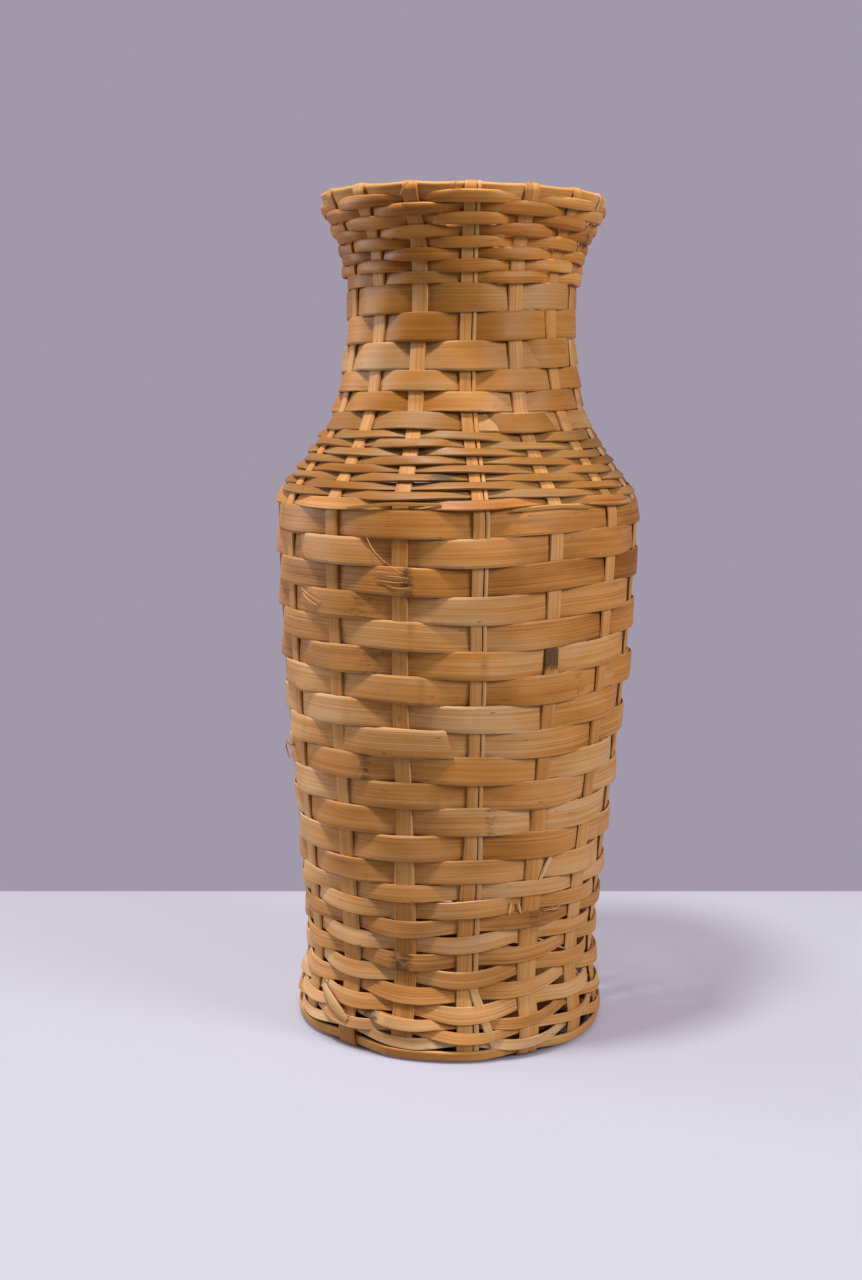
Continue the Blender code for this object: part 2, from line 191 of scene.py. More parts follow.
BODY_TURNS = np.array([13.0, 24.0])
body_low, body_high = row_span(BODY_TURNS * STAKE_COUNT)
print("body rows: %.1f mm wide" % (1000 * (body_high - body_low).mean()))

# %% [markdown]
# ## Unevenness
# Hand-split bamboo is never quite straight or even. Noise in the node tree could move the finished
# surface, but then the splint's own direction would not follow. So the path wanders instead. A drift is a
# slow smooth wander with a fixed seed: three sine waves of unlike pace. It moves rows and stakes, and
# varies width and tone.

# %% Slow wander
DRIFT_PACES = (1.0, 1.73, 2.9)
DRIFT_SHARES = (0.55, 0.3, 0.25)


def drift(x, seed):
    """A smooth wander between about -1 and 1, the same each time for the same seed."""
    phases = np.random.default_rng(seed).uniform(0, 2 * math.pi, len(DRIFT_PACES))
    waves = zip(DRIFT_PACES, DRIFT_SHARES, phases)
    return sum(share * np.sin(pace * x + phase) for pace, share, phase in waves)


print("drift at 0, 1, 2:", np.round(drift(np.arange(3.0), seed=1), 2))

# %% [markdown]
# ## One tree for every splint
# Each splint is a flat strip that follows a path: up the wall, round it, or through the base. A curve
# with a bevel object could do that, but it has one section and turns as it likes. Geometry Nodes can take
# a path whose points carry their own width direction, face direction and half sizes. The tree sweeps a
# section along it, sets every point from those directions, adds fibre ridges and slightly wandering
# edges, and keeps what the finish needs: the place along and across the grain. Small helpers keep the
# node formulas readable.

# %% Helpers for node trees
def plug(tree, value, socket):
    """Links an output to a socket, or sets the socket to a plain value."""
    if isinstance(value, bpy.types.NodeSocket):
        tree.links.new(value, socket)
    else:
        socket.default_value = value


def add_node(tree, kind, inputs=(), **settings):
    """A node with its settings, and its inputs plugged by name."""
    node = tree.nodes.new(kind)
    for name, value in settings.items():
        setattr(node, name, value)
    for name, value in dict(inputs).items():
        plug(tree, value, node.inputs[name])
    return node


def calc(tree, operation, *values):
    node = add_node(tree, "ShaderNodeMath", operation=operation)
    for value, socket in zip(values, node.inputs):
        plug(tree, value, socket)
    return node.outputs[0]


def combine(tree, x, y, z):
    return add_node(tree, "ShaderNodeCombineXYZ", {"X": x, "Y": y, "Z": z}).outputs[0]


def scaled(tree, vector, amount):
    node = add_node(tree, "ShaderNodeVectorMath", operation="SCALE")
    plug(tree, vector, node.inputs[0])
    plug(tree, amount, node.inputs["Scale"])
    return node.outputs[0]


def vector_calc(tree, operation, first, second):
    node = add_node(tree, "ShaderNodeVectorMath", operation=operation)
    plug(tree, first, node.inputs[0])
    plug(tree, second, node.inputs[1])
    return node.outputs[0]


def noise(tree, vector, detail=2.0, roughness=0.5):
    """Noise about zero, from -1 to 1, at a vector that already has its scale."""
    node = add_node(tree, "ShaderNodeTexNoise", {"Vector": vector, "Scale": 1.0, "Detail": detail,
                                                 "Roughness": roughness})
    return calc(tree, "MULTIPLY_ADD", node.outputs[0], 2.0, -1.0)


def named(tree, name, data_type="FLOAT"):
    node = add_node(tree, "GeometryNodeInputNamedAttribute", {"Name": name}, data_type=data_type)
    return node.outputs["Attribute"]


def store(tree, geometry, name, value, data_type="FLOAT"):
    node = add_node(tree, "GeometryNodeStoreNamedAttribute", {"Geometry": geometry, "Name": name},
                    data_type=data_type, domain="POINT")
    plug(tree, value, node.inputs["Value"])
    return node.outputs[0]


print("node helpers ready")

# %% [markdown]
# ## The section of a splint
# A thin strip is flat with crisp edges, and a thick one is nearly oval. A bevelled rectangle could stand
# for the first and a circle for the second, but one formula gives both: an oval that gets squarer as a
# power rises. Its points are drawn towards the edges, where the shape turns.

# %% The section of a splint
BUNCHING = 0.85


def section_shape(tree, points):
    """A closed ring of points, kept as a place across from -1 to 1 and the face that it is on."""
    circle = add_node(tree, "GeometryNodeCurvePrimitiveCircle", {"Resolution": points, "Radius": 1.0})
    place = add_node(tree, "GeometryNodeInputPosition").outputs[0]
    split = add_node(tree, "ShaderNodeSeparateXYZ", {"Vector": place})
    cosine = calc(tree, "MINIMUM", calc(tree, "MAXIMUM", split.outputs[0], -1.0), 1.0)
    turn = calc(tree, "ARCCOSINE", cosine)
    even = calc(tree, "MULTIPLY_ADD", turn, -2 / math.pi, 1.0)
    bunched = calc(tree, "SINE", calc(tree, "MULTIPLY", even, math.pi / 2))
    across = calc(tree, "MULTIPLY_ADD", calc(tree, "SUBTRACT", bunched, even), BUNCHING, even)
    curve = store(tree, circle.outputs[0], "across", across)
    return store(tree, curve, "face_sign", calc(tree, "SIGN", split.outputs[1]))


def proud_of(tree, across, squareness):
    """How far the section stands up at a place across it: an oval at 2, flatter and squarer above."""
    power = calc(tree, "POWER", calc(tree, "ABSOLUTE", across), squareness)
    left = calc(tree, "MAXIMUM", calc(tree, "SUBTRACT", 1.0, power), 0.0)
    half = calc(tree, "POWER", left, calc(tree, "DIVIDE", 1.0, squareness))
    return calc(tree, "MULTIPLY", half, named(tree, "face_sign"))


print("section points drawn towards the edges:", BUNCHING)

# %% [markdown]
# ## The splint tree
# The path becomes a curve, and the section is swept along it only to get rings of faces. Then each point
# is set anew: the centre of the path, plus a step along the width, plus a step along the face. A curve's
# own tilt could turn the strip, but the path already knows how the strip lies on the wall.

# %% The splint tree
TREE_INPUTS = (
    ("Section points", "NodeSocketInt"),
    ("Crown", "NodeSocketFloat"),
    ("Fibre ridges", "NodeSocketFloat"),
    ("Edge wander", "NodeSocketFloat"),
    ("Seed", "NodeSocketFloat"),
    ("Finish", "NodeSocketMaterial"),
)
RIDGES_PER_METRE = (25.0, 1100.0)
WANDER_PER_METRE = 70.0
OTHER_EDGE = 3.7
TEMPORARY = ("centre", "side", "face", "half_width", "half_thick", "square", "across", "face_sign", "along")


def make_splint_tree():
    tree = bpy.data.node_groups.new("splint", "GeometryNodeTree")
    tree.is_modifier = True
    tree.interface.new_socket("Path", in_out="INPUT", socket_type="NodeSocketGeometry")
    for name, kind in TREE_INPUTS:
        tree.interface.new_socket(name, in_out="INPUT", socket_type=kind)
    tree.interface.new_socket("Splint", in_out="OUTPUT", socket_type="NodeSocketGeometry")
    given = add_node(tree, "NodeGroupInput").outputs
    path = add_node(tree, "GeometryNodeMeshToCurve", {"Mesh": given["Path"]}).outputs[0]
    place = add_node(tree, "GeometryNodeInputPosition").outputs[0]
    path = store(tree, path, "centre", place, "FLOAT_VECTOR")
    section = section_shape(tree, given["Section points"])
    swept = add_node(tree, "GeometryNodeCurveToMesh", {"Curve": path, "Profile Curve": section,
                                                       "Fill Caps": True}).outputs[0]
    across, along = named(tree, "across"), named(tree, "along")
    proud = proud_of(tree, across, named(tree, "square"))
    width, thick = named(tree, "half_width"), named(tree, "half_thick")
    sideways = calc(tree, "MULTIPLY", across, width)

    ridge_place = combine(tree, calc(tree, "MULTIPLY", along, RIDGES_PER_METRE[0]),
                          calc(tree, "MULTIPLY", sideways, RIDGES_PER_METRE[1]), given["Seed"])
    ridges = calc(tree, "MULTIPLY", noise(tree, ridge_place), given["Fibre ridges"])
    edge_place = combine(tree, calc(tree, "MULTIPLY", along, WANDER_PER_METRE),
                         calc(tree, "MULTIPLY", calc(tree, "SIGN", across), OTHER_EDGE), given["Seed"])
    wander = calc(tree, "MULTIPLY", noise(tree, edge_place), given["Edge wander"])

    to_side = calc(tree, "MULTIPLY_ADD", across, wander, sideways)
    bow = calc(tree, "SUBTRACT", 1.0, calc(tree, "MULTIPLY", across, across))
    bow = calc(tree, "MULTIPLY", calc(tree, "MULTIPLY", bow, width), given["Crown"])
    to_face = calc(tree, "MULTIPLY_ADD", proud, calc(tree, "ADD", thick, ridges), bow)
    position = named(tree, "centre", "FLOAT_VECTOR")
    for direction, step in (("side", to_side), ("face", to_face)):
        moved = scaled(tree, named(tree, direction, "FLOAT_VECTOR"), step)
        position = vector_calc(tree, "ADD", position, moved)
    made = add_node(tree, "GeometryNodeSetPosition", {"Geometry": swept, "Position": position}).outputs[0]

    made = store(tree, made, "grain", combine(tree, along, sideways, given["Seed"]), "FLOAT_VECTOR")
    made = store(tree, made, "edge", calc(tree, "ABSOLUTE", across))
    for name in TEMPORARY:
        made = add_node(tree, "GeometryNodeRemoveAttribute", {"Geometry": made, "Name": name}).outputs[0]
    made = add_node(tree, "GeometryNodeSetShadeSmooth", {"Geometry": made}).outputs[0]
    made = add_node(tree, "GeometryNodeRealizeInstances", {"Geometry": made}).outputs[0]
    made = add_node(tree, "GeometryNodeSetMaterial", {"Geometry": made,
                                                      "Material": given["Finish"]}).outputs[0]
    plug(tree, made, add_node(tree, "NodeGroupOutput").inputs[0])
    return tree


splint_tree = make_splint_tree()
print("splint tree:", len(splint_tree.nodes), "nodes")

# %% [markdown]
# ## Bamboo
# Split bamboo shows its fibres: fine lines along the grain, broader streaks, slow changes of tone, small
# dark flecks, a dark ring at each joint of the cane, and here and there a brown weather mark. A picture
# of bamboo could be wrapped on, but it would stretch and repeat. Noise that is drawn out along the grain
# does neither. It reads the grain that the tree kept, not the place in space, so it follows every bend.

# %% Layers of the grain
# A layer is its waves per metre along and across the grain, then the detail and the roughness of its noise.
GRAIN_LAYERS = {
    "streaks": (2.5, 330.0, 3.0, 0.6),
    "fibres": (4.0, 1350.0, 4.0, 0.7),
    "clouds": (24.0, 110.0, 3.0, 0.55),
    "flecks": (120.0, 700.0, 2.0, 0.5),
    "lines": (3.0, 420.0, 2.0, 0.6),
    "patches": (210.0, 420.0, 4.0, 0.65),
}
LINE_SHARPNESS = 7.0
PALE_EDGE_AND_HIGHLIGHT_POWER = 14.0


def attribute(tree, name):
    return add_node(tree, "ShaderNodeAttribute", attribute_name=name, attribute_type="GEOMETRY")


def grain_noise(tree, grain, along, across, detail, roughness):
    place = vector_calc(tree, "MULTIPLY", grain, (along, across, 1.0))
    return noise(tree, place, detail, roughness)


def grain_parts(tree):
    """All that a finish is mixed from: the layers of the grain, and what the splint's path carries."""
    grain = attribute(tree, "grain").outputs["Vector"]
    parts = {name: grain_noise(tree, grain, *facts) for name, facts in GRAIN_LAYERS.items()}
    lines = calc(tree, "MULTIPLY_ADD", calc(tree, "ABSOLUTE", parts["lines"]), -LINE_SHARPNESS, 1.0)
    parts["lines"] = calc(tree, "MAXIMUM", lines, 0.0)
    for name in ("tone", "edge", "joint", "stain"):
        parts[name] = attribute(tree, name).outputs["Fac"]
    # Both edges of every splint are lightened: paler worn edges, and partly a painted highlight along them.
    parts["pale_edge_and_highlight"] = calc(tree, "POWER", parts["edge"], PALE_EDGE_AND_HIGHLIGHT_POWER)
    return parts


print("layers of the grain:", ", ".join(GRAIN_LAYERS))

# %% [markdown]
# ## The finish of a splint
# The layers add up to one value from dark to pale, which a colour ramp turns into bamboo. Mixing colours
# layer by layer would also work, but it greys them. One value keeps every tone on the way from brown to
# cream. Flecks, rings and marks lie over it. Dry bamboo hardly shines, so the gloss is low and follows
# the streaks.

# %% The colour of the fibres
MIDDLE_TONE = 0.5
# The edge share lightens both edges of a splint: paler worn edges, and partly a painted highlight.
TONE_SHARES = {"streaks": 0.15, "fibres": 0.42, "lines": -0.11, "clouds": 0.26, "tone": 0.22, "pale_edge_and_highlight": 0.14}
TONE_STOPS = (0.08, 0.5, 0.88, 1.0)
CREAM_LEFT = 0.92


def ramp(tree, value, stops):
    node = add_node(tree, "ShaderNodeValToRGB", {"Fac": value})
    elements = node.color_ramp.elements
    while len(elements) < len(stops):
        elements.new(0.5)
    for element, (position, colour) in zip(elements, stops):
        element.position = position
        element.color = colour
    return node.outputs["Color"]


def mixed(tree, amount, first, second):
    """Two colours mixed by an amount. A Mix node keeps its colours in inputs 6 and 7 and in output 2."""
    node = add_node(tree, "ShaderNodeMix", data_type="RGBA", clamp_factor=True)
    plug(tree, amount, node.inputs["Factor"])
    plug(tree, first, node.inputs[6])
    plug(tree, second, node.inputs[7])
    return node.outputs[2]


def fibre_colour(tree, parts, shades):
    """The colour of the fibres, from the darkest through the lightest to a cream beyond it."""
    value = MIDDLE_TONE
    for name, share in TONE_SHARES.items():
        value = calc(tree, "MULTIPLY_ADD", parts[name], share, value)
    cream = [1 - (1 - part) * CREAM_LEFT for part in shades[-1]]
    stops = zip(TONE_STOPS, (*shades, cream))
    return ramp(tree, value, [(position, (*shade, 1.0)) for position, shade in stops])


print("the tone of a fibre comes from:", ", ".join(TONE_SHARES))

# %% Flecks, rings and marks
FLECK_BROWN = (0.10, 0.045, 0.015, 1.0)
FLECK_ABOVE, FLECK_SHARE = 0.43, 0.65
RING_SHARE, RING_CLOUDS = 0.25, 0.8
MARK_BROWN = (0.040, 0.019, 0.009, 1.0)
MARK_STAIN, MARK_PATCHES, MARK_CLEAR = 0.9, 1.3, 0.40
MARK_ABOVE, MARK_STRENGTH, MARK_MOST = 0.02, 1.2, 0.85


def marked(tree, parts, colour):
    """Flecks, the rings at the joints of the cane and patchy weather marks, over the colour of the fibres."""
    fleck = calc(tree, "MULTIPLY", calc(tree, "GREATER_THAN", parts["flecks"], FLECK_ABOVE), FLECK_SHARE)
    colour = mixed(tree, fleck, colour, FLECK_BROWN)
    ring = calc(tree, "MULTIPLY_ADD", parts["clouds"], RING_CLOUDS, RING_SHARE)
    colour = mixed(tree, calc(tree, "MULTIPLY", parts["joint"], ring), colour, FLECK_BROWN)
    patchy = calc(tree, "MULTIPLY_ADD", parts["patches"], MARK_PATCHES, -MARK_CLEAR)
    blotch = calc(tree, "MULTIPLY_ADD", parts["stain"], MARK_STAIN, patchy)
    in_mark = calc(tree, "GREATER_THAN", parts["stain"], MARK_ABOVE)
    blotch = calc(tree, "MULTIPLY", blotch, calc(tree, "MULTIPLY", in_mark, MARK_STRENGTH))
    return mixed(tree, calc(tree, "MINIMUM", blotch, MARK_MOST), colour, MARK_BROWN)


print("weather marks cover at most %.0f%%" % (100 * MARK_MOST))

# %% The bamboo finish
ROUGH_STREAKS = 0.10
RELIEF_FIBRES, RELIEF_STRENGTH, RELIEF_DEPTH = 0.5, 0.35, 0.00025
DRY_GLOSS = {"Specular IOR Level": 0.15, "Sheen Weight": 0.03, "Sheen Roughness": 0.4}


def bamboo(name, dark, middle, light, roughness):
    """A split-bamboo finish from three colours, darkest to lightest fibre."""
    material = bpy.data.materials.new("bamboo_" + name)
    material.use_nodes = True
    tree = material.node_tree
    shader = tree.nodes["Principled BSDF"]
    parts = grain_parts(tree)
    colour = marked(tree, parts, fibre_colour(tree, parts, (dark, middle, light)))
    plug(tree, colour, shader.inputs["Base Color"])
    rough = calc(tree, "MULTIPLY_ADD", parts["streaks"], ROUGH_STREAKS, roughness)
    plug(tree, rough, shader.inputs["Roughness"])
    relief = calc(tree, "MULTIPLY_ADD", parts["fibres"], RELIEF_FIBRES, parts["streaks"])
    bump = add_node(tree, "ShaderNodeBump", {"Strength": RELIEF_STRENGTH, "Distance": RELIEF_DEPTH,
                                             "Height": relief})
    plug(tree, bump.outputs[0], shader.inputs["Normal"])
    for socket, value in DRY_GLOSS.items():
        shader.inputs[socket].default_value = value
    return material


# The darkest, the middle and the lightest fibre of each kind of splint, and its roughness.
SHADES = {
    "stake": ((0.20, 0.062, 0.006), (0.40, 0.168, 0.040), (0.47, 0.290, 0.148), 0.5),
    "lower_weaver": ((0.18, 0.056, 0.006), (0.41, 0.171, 0.045), (0.49, 0.289, 0.145), 0.5),
    "body_weaver": ((0.17, 0.047, 0.003), (0.380, 0.149, 0.031), (0.460, 0.267, 0.126), 0.48),
    "shoulder_weaver": ((0.170, 0.053, 0.003), (0.208, 0.084, 0.015), (0.255, 0.138, 0.057), 0.48),
    "neck_weaver": ((0.20, 0.066, 0.005), (0.315, 0.121, 0.020), (0.340, 0.198, 0.090), 0.5),
    "rim_weaver": ((0.17, 0.048, 0.004), (0.35, 0.126, 0.020), (0.46, 0.220, 0.065), 0.46),
    "hoop": ((0.20, 0.066, 0.008), (0.38, 0.150, 0.030), (0.50, 0.262, 0.09), 0.48),
    "base": ((0.17, 0.058, 0.012), (0.31, 0.125, 0.035), (0.42, 0.215, 0.08), 0.6),
}
FINISHES = {name: bamboo(name, *facts) for name, facts in SHADES.items()}
print("finishes:", ", ".join(FINISHES))

# %% [markdown]
# ## From path to piece
# A chain is the path of one splint with what its points carry. A piece may hold several chains, such as a
# stake that has split in two. Each strip could be extruded in Edit Mode, but then a change of the wall
# would mean doing it again. Here the chains become one mesh of bare edges, the tree dresses them, and the
# result is turned into a plain mesh that stands for the frame's node of the same name.

# %% Chains
FLAT_STRIP_SQUARE = 7.0
JOINT_LENGTH = 0.0013
JOINT_SWELL = 0.22


def path_lengths(centre):
    """The length along a path from its start to each of its points."""
    steps = np.linalg.norm(np.diff(centre, axis=0), axis=1)
    return np.concatenate([[0.0], np.cumsum(steps)])


def chain(centre, side, half_width, half_thick, tone=0.0, joints=(), stains=(), square=FLAT_STRIP_SQUARE):
    """The path of one splint. Joints are lengths along it, stains are (length along, spread, strength)."""
    along = path_lengths(centre)
    tangent = np.gradient(centre, axis=0)
    face = np.cross(tangent, side)
    face /= np.linalg.norm(face, axis=1)[:, None]
    joint = sum((np.exp(-((along - place) / JOINT_LENGTH) ** 2) for place in joints), 0 * along)
    stain = sum((s * np.exp(-((along - place) / spread) ** 2) for place, spread, s in stains), 0 * along)
    thick = (half_thick + 0 * along) * (1 + JOINT_SWELL * joint)
    return {"centre": centre, "side": side, "face": face, "half_width": half_width + 0 * along,
            "half_thick": thick, "square": square + 0 * along, "along": along, "tone": tone + 0 * along,
            "joint": joint, "stain": stain}


print("a joint of the cane swells by %.0f%%" % (100 * JOINT_SWELL))

# %% Pieces
POINT_FLOATS = ("half_width", "half_thick", "square", "along", "tone", "joint", "stain")
FIBRE_RIDGES, EDGE_WANDER = 0.00005, 0.00028
SHARP_EDGE = math.radians(50)
SEED_RANGE = 997


def path_mesh(name, chains):
    """A mesh of bare edges along the chains, whose points carry what the tree needs."""
    points = np.concatenate([c["centre"] for c in chains])
    edges, first = [], 0
    for c in chains:
        count = len(c["centre"])
        edges += [(first + i, first + i + 1) for i in range(count - 1)]
        first += count
    mesh = bpy.data.meshes.new(name)
    mesh.from_pydata(points.tolist(), edges, [])
    for field in POINT_FLOATS:
        values = np.concatenate([c[field] for c in chains]).astype(np.float32)
        mesh.attributes.new(field, "FLOAT", "POINT").data.foreach_set("value", values)
    for field in ("side", "face"):
        values = np.concatenate([c[field] for c in chains]).astype(np.float32)
        mesh.attributes.new(field, "FLOAT_VECTOR", "POINT").data.foreach_set("vector", values.ravel())
    return mesh


def set_inputs(modifier, values):
    for item in splint_tree.interface.items_tree:
        if item.name in values and item.in_out == "INPUT":
            modifier[item.identifier] = values[item.name]


def add_object(name, data):
    made = bpy.data.objects.new(name, data)
    bpy.context.scene.collection.objects.link(made)
    return made


def make_piece(node, chains, finish, points=20, crown=0.018):
    """Dresses the chains with the splint tree, and lets the mesh stand for the frame's node."""
    source = add_object("path", path_mesh(node, chains))
    modifier = source.modifiers.new("splint", "NODES")
    modifier.node_group = splint_tree
    seed = float(sum(ord(letter) * (i + 1) for i, letter in enumerate(node)) % SEED_RANGE)
    set_inputs(modifier, {"Section points": points, "Crown": crown, "Fibre ridges": FIBRE_RIDGES,
                          "Edge wander": EDGE_WANDER, "Seed": seed, "Finish": FINISHES[finish]})
    evaluated = source.evaluated_get(bpy.context.evaluated_depsgraph_get())
    mesh = bpy.data.meshes.new_from_object(evaluated)
    bpy.data.objects.remove(source)
    bm = bmesh.new()
    bm.from_mesh(mesh)
    bmesh.ops.recalc_face_normals(bm, faces=bm.faces)
    bm.to_mesh(mesh)
    bm.free()
    mesh.set_sharp_from_angle(angle=SHARP_EDGE)
    piece = add_object(node + "_splint", mesh)
    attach(piece, "root")
    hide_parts(node)
    return piece


print("pieces carry:", ", ".join(POINT_FLOATS))

# %% [markdown]
# ## How a weaver goes in and out
# At each stake a weaver lies flat, outside or inside, a little past the stake's edges. Between stakes it
# swings across in a nearly straight line, and the bamboo rounds off the corners. A sine would be simpler,
# but it only touches a stake at one point. So the offset is a wave with flat tops, averaged over a short
# stretch. The hoops use the same wave, each with its own order of stakes.

# %% The wave through the stakes
ROUND_OFF = np.linspace(-0.12, 0.12, 9)
CROSSING_MARGIN = 0.0008


def flat_at(radius, height):
    """Half the flat stretch at a stake, as a share of the way from one stake to the next."""
    return (stake_width(height) / 2 + CROSSING_MARGIN) / (radius * STAKE_STEP)


def flat_share(t):
    """The flat stretch of a row at a crossing number."""
    low, high = row_span(t)
    return flat_at(*wall_place((low + high) / 2, 0.0))


def wave(t, side_of, flat):
    """The swing of a splint, from the side that it has at the stakes before and after each place."""
    total = 0.0
    for shift in ROUND_OFF:
        before = np.floor(t + shift)
        swing = np.clip((t + shift - before - flat) / (1 - 2 * flat), 0.0, 1.0)
        total = total + side_of(before) * (1 - swing) + side_of(before + 1) * swing
    return total / len(ROUND_OFF)


def spiral_side(crossing):
    """Outside at odd crossings, inside at even ones."""
    return np.where(crossing % 2 == 1, 1.0, -1.0)


body_flat = flat_share(BODY_TURNS[0] * STAKE_COUNT)
print("wave over two stakes:", np.round(wave(np.linspace(0, 2, 9), spiral_side, body_flat), 2))

# %% [markdown]
# ## Broken fibres and weather marks
# An old basket has splinters that stand away from the weave, strips that have slipped, and brown marks
# where damp got in. Hair particles could scatter splinters, but the real ones sit where a strip was bent
# hardest. So each is a thin chain of its own, placed one by one, and belongs to the splint that it broke
# from. A mark is a place along a weaver or a height on a stake, with a spread and a strength, and the
# finish makes it patchy.

# %% Splinters and marks
# A splinter is its node, half width and tone, and places by stake number, height and step out from the wall.
SPLINTERS = (
    ("stake_01", 0.0022, 0.8,
     ((0.05, 0.0380, 0.0011), (0.22, 0.0240, 0.0013), (0.39, 0.0080, 0.0011))),
    ("stake_02", 0.0012, 1.3,
     ((1.28, 0.1020, 0.0012), (1.18, 0.0962, 0.0014), (1.07, 0.0885, 0.0012))),
    ("stake_13", 0.0026, 0.8,
     ((12.40, 0.0262, 0.0022), (12.74, 0.0205, 0.0032), (13.06, 0.0146, 0.0026))),
    ("stake_13", 0.0013, 0.9,
     ((12.10, 0.0366, 0.0010), (12.28, 0.0322, 0.0012), (12.46, 0.0280, 0.0010))),
    ("lower_weaver_5", 0.0007, 1.2,
     ((0.62, 0.0796, 0.0012), (0.60, 0.0742, 0.0014))),
    ("lower_weaver_5", 0.0006, 1.0,
     ((0.74, 0.0796, 0.0012), (0.79, 0.0740, 0.0014))),
    ("lower_weaver_5", 0.0002, 0.2,
     ((1.14, 0.0752, 0.0022), (1.37, 0.0732, 0.0028), (1.60, 0.0728, 0.0022))),
    ("lower_weaver_5", 0.0002, 0.4,
     ((1.18, 0.0735, 0.0022), (1.40, 0.0738, 0.0028), (1.52, 0.0746, 0.0024))),
    ("body_weaver_2", 0.0013, 0.2,
     ((11.60, 0.1452, 0.0018), (11.25, 0.1446, 0.0038), (11.10, 0.1408, 0.0044), (11.30, 0.1368, 0.0030))),
    ("body_weaver_5", 0.00014, 2.0,
     ((13.66, 0.2406, 0.0022), (13.84, 0.2404, 0.0028), (14.02, 0.2396, 0.0024))),
    ("body_weaver_5", 0.00014, 2.0,
     ((13.78, 0.2386, 0.0022), (13.96, 0.2388, 0.0030), (14.12, 0.2380, 0.0024))),
    ("body_weaver_5", 0.00014, 2.0,
     ((13.70, 0.2366, 0.0022), (13.92, 0.2358, 0.0028), (14.10, 0.2362, 0.0022))),
    ("body_weaver_5", 0.00018, 1.4,
     ((13.84, 0.2340, 0.0022), (14.00, 0.2332, 0.0032), (14.16, 0.2338, 0.0024))),
    ("body_weaver_5", 0.00020, 1.0,
     ((12.40, 0.2284, 0.0022), (12.60, 0.2258, 0.0028), (12.82, 0.2234, 0.0022))),
    ("body_weaver_5", 0.00020, 1.2,
     ((12.42, 0.2262, 0.0022), (12.58, 0.2236, 0.0030), (12.76, 0.2212, 0.0022))),
    ("body_weaver_6", 0.00010, 2.0,
     ((13.58, 0.2560, 0.0024), (13.68, 0.2506, 0.0038), (13.82, 0.2456, 0.0036), (14.06, 0.2398, 0.0026))),
    ("shoulder_weaver_1", 0.0009, 0.3,
     ((13.20, 0.2684, 0.0012), (13.90, 0.2710, 0.0026), (14.52, 0.2714, 0.0018))),
    ("shoulder_weaver_1", 0.0009, 0.2,
     ((0.38, 0.2694, 0.0012), (0.95, 0.2706, 0.0028), (1.52, 0.2700, 0.0014))),
    ("rim_hoop", 0.0003, 1.8,
     ((13.84, 0.4130, 0.0016), (13.92, 0.4165, 0.0022), (14.02, 0.4188, 0.0016))),
    ("rim_hoop", 0.0002, 1.4,
     ((14.66, 0.4160, 0.0014), (14.74, 0.4180, 0.0018), (14.80, 0.4192, 0.0014))),
)
# A mark on a weaver is its crossing number, spread along the splint and strength.
WEATHER_MARKS = (
    (427.55, 0.0080, 1.5),
    (321.45, 0.0090, 0.6),
    (291.60, 0.0090, 0.6),
    (279.50, 0.0050, 0.5),
    (203.25, 0.0030, 0.8),
    (96.95, 0.0060, 1.2),
    (36.45, 0.0050, 1.4),
)
# A mark on a stake is found by the stake's index: height, spread and strength.
STAKE_MARKS = {
    1: (0.1995, 0.0060, 2.0),
    4: (0.1500, 0.0050, 0.8),
    9: (0.2300, 0.0060, 0.9),
    11: (0.1100, 0.0040, 0.7),
}
print("splinters:", len(SPLINTERS), "and weather marks:", len(WEATHER_MARKS) + len(STAKE_MARKS))

# %% The path of a splinter
FIBRE_THICK = 0.00028
SPLINTER_POINTS = 24
SPLINTER_SOFT = 3
SPLINTER_THINS, SPLINTER_THINS_POWER = 0.55, 3


def directions(path):
    """The unit direction of a path at each of its points."""
    tangent = np.gradient(path, axis=0)
    return tangent / np.linalg.norm(tangent, axis=1)[:, None]


def averaged(column, reach, **padding):
    """A column of numbers, each averaged with its neighbours up to a reach away."""
    window = 2 * reach + 1
    return np.convolve(np.pad(column, reach, **padding), np.ones(window) / window, "valid")


def splinter_chain(half_width, tone, places):
    """A thin loose fibre through a few places, each a stake number, a height and a step out from the wall."""
    share = np.linspace(0.0, 1.0, SPLINTER_POINTS)
    stops = np.linspace(0.0, 1.0, len(places))
    columns = [np.interp(share, stops, column) for column in zip(*places)]
    soft = [averaged(column, SPLINTER_SOFT, mode="reflect", reflect_type="odd") for column in columns]
    number, height, out = soft
    angle = stake_angle(number) + neck_twist(height)
    lean = np.interp(height, WALL_HEIGHTS, WALL_LEAN)
    centre = turned(*wall_place(length_at(height), out), angle)
    outward = np.stack([np.cos(angle) * np.cos(lean), np.sin(angle) * np.cos(lean), -np.sin(lean)], axis=1)
    side = np.cross(outward, directions(centre))
    thinner = 1 - SPLINTER_THINS * np.abs(2 * share - 1) ** SPLINTER_THINS_POWER
    return chain(centre, side, half_width * thinner, min(FIBRE_THICK, half_width), tone)


def splinters_of(node):
    """The chains of the splinters that belong to a node."""
    return [splinter_chain(*facts) for owner, *facts in SPLINTERS if owner == node]


print("splinters at the rim:", len(splinters_of("rim_hoop")))

# %% [markdown]
# ## The weavers
# Five kinds of weaver, from the foot up: lower, body, shoulder, neck and rim. Lower, body and neck
# weavers are wide thin strips. Shoulder and rim weavers are thicker and rounder, and the rim's humps are
# wider than their row, because the rows above and below are tucked behind the stake there. Each splint of
# a kind could be listed, but a count and the turn where the kind ends are enough: the laps are then set
# to the nearest stake that the row passes outside. A tail lies over the head of the next weaver and ends
# behind a stake, apart from the one tail that shows on the body.

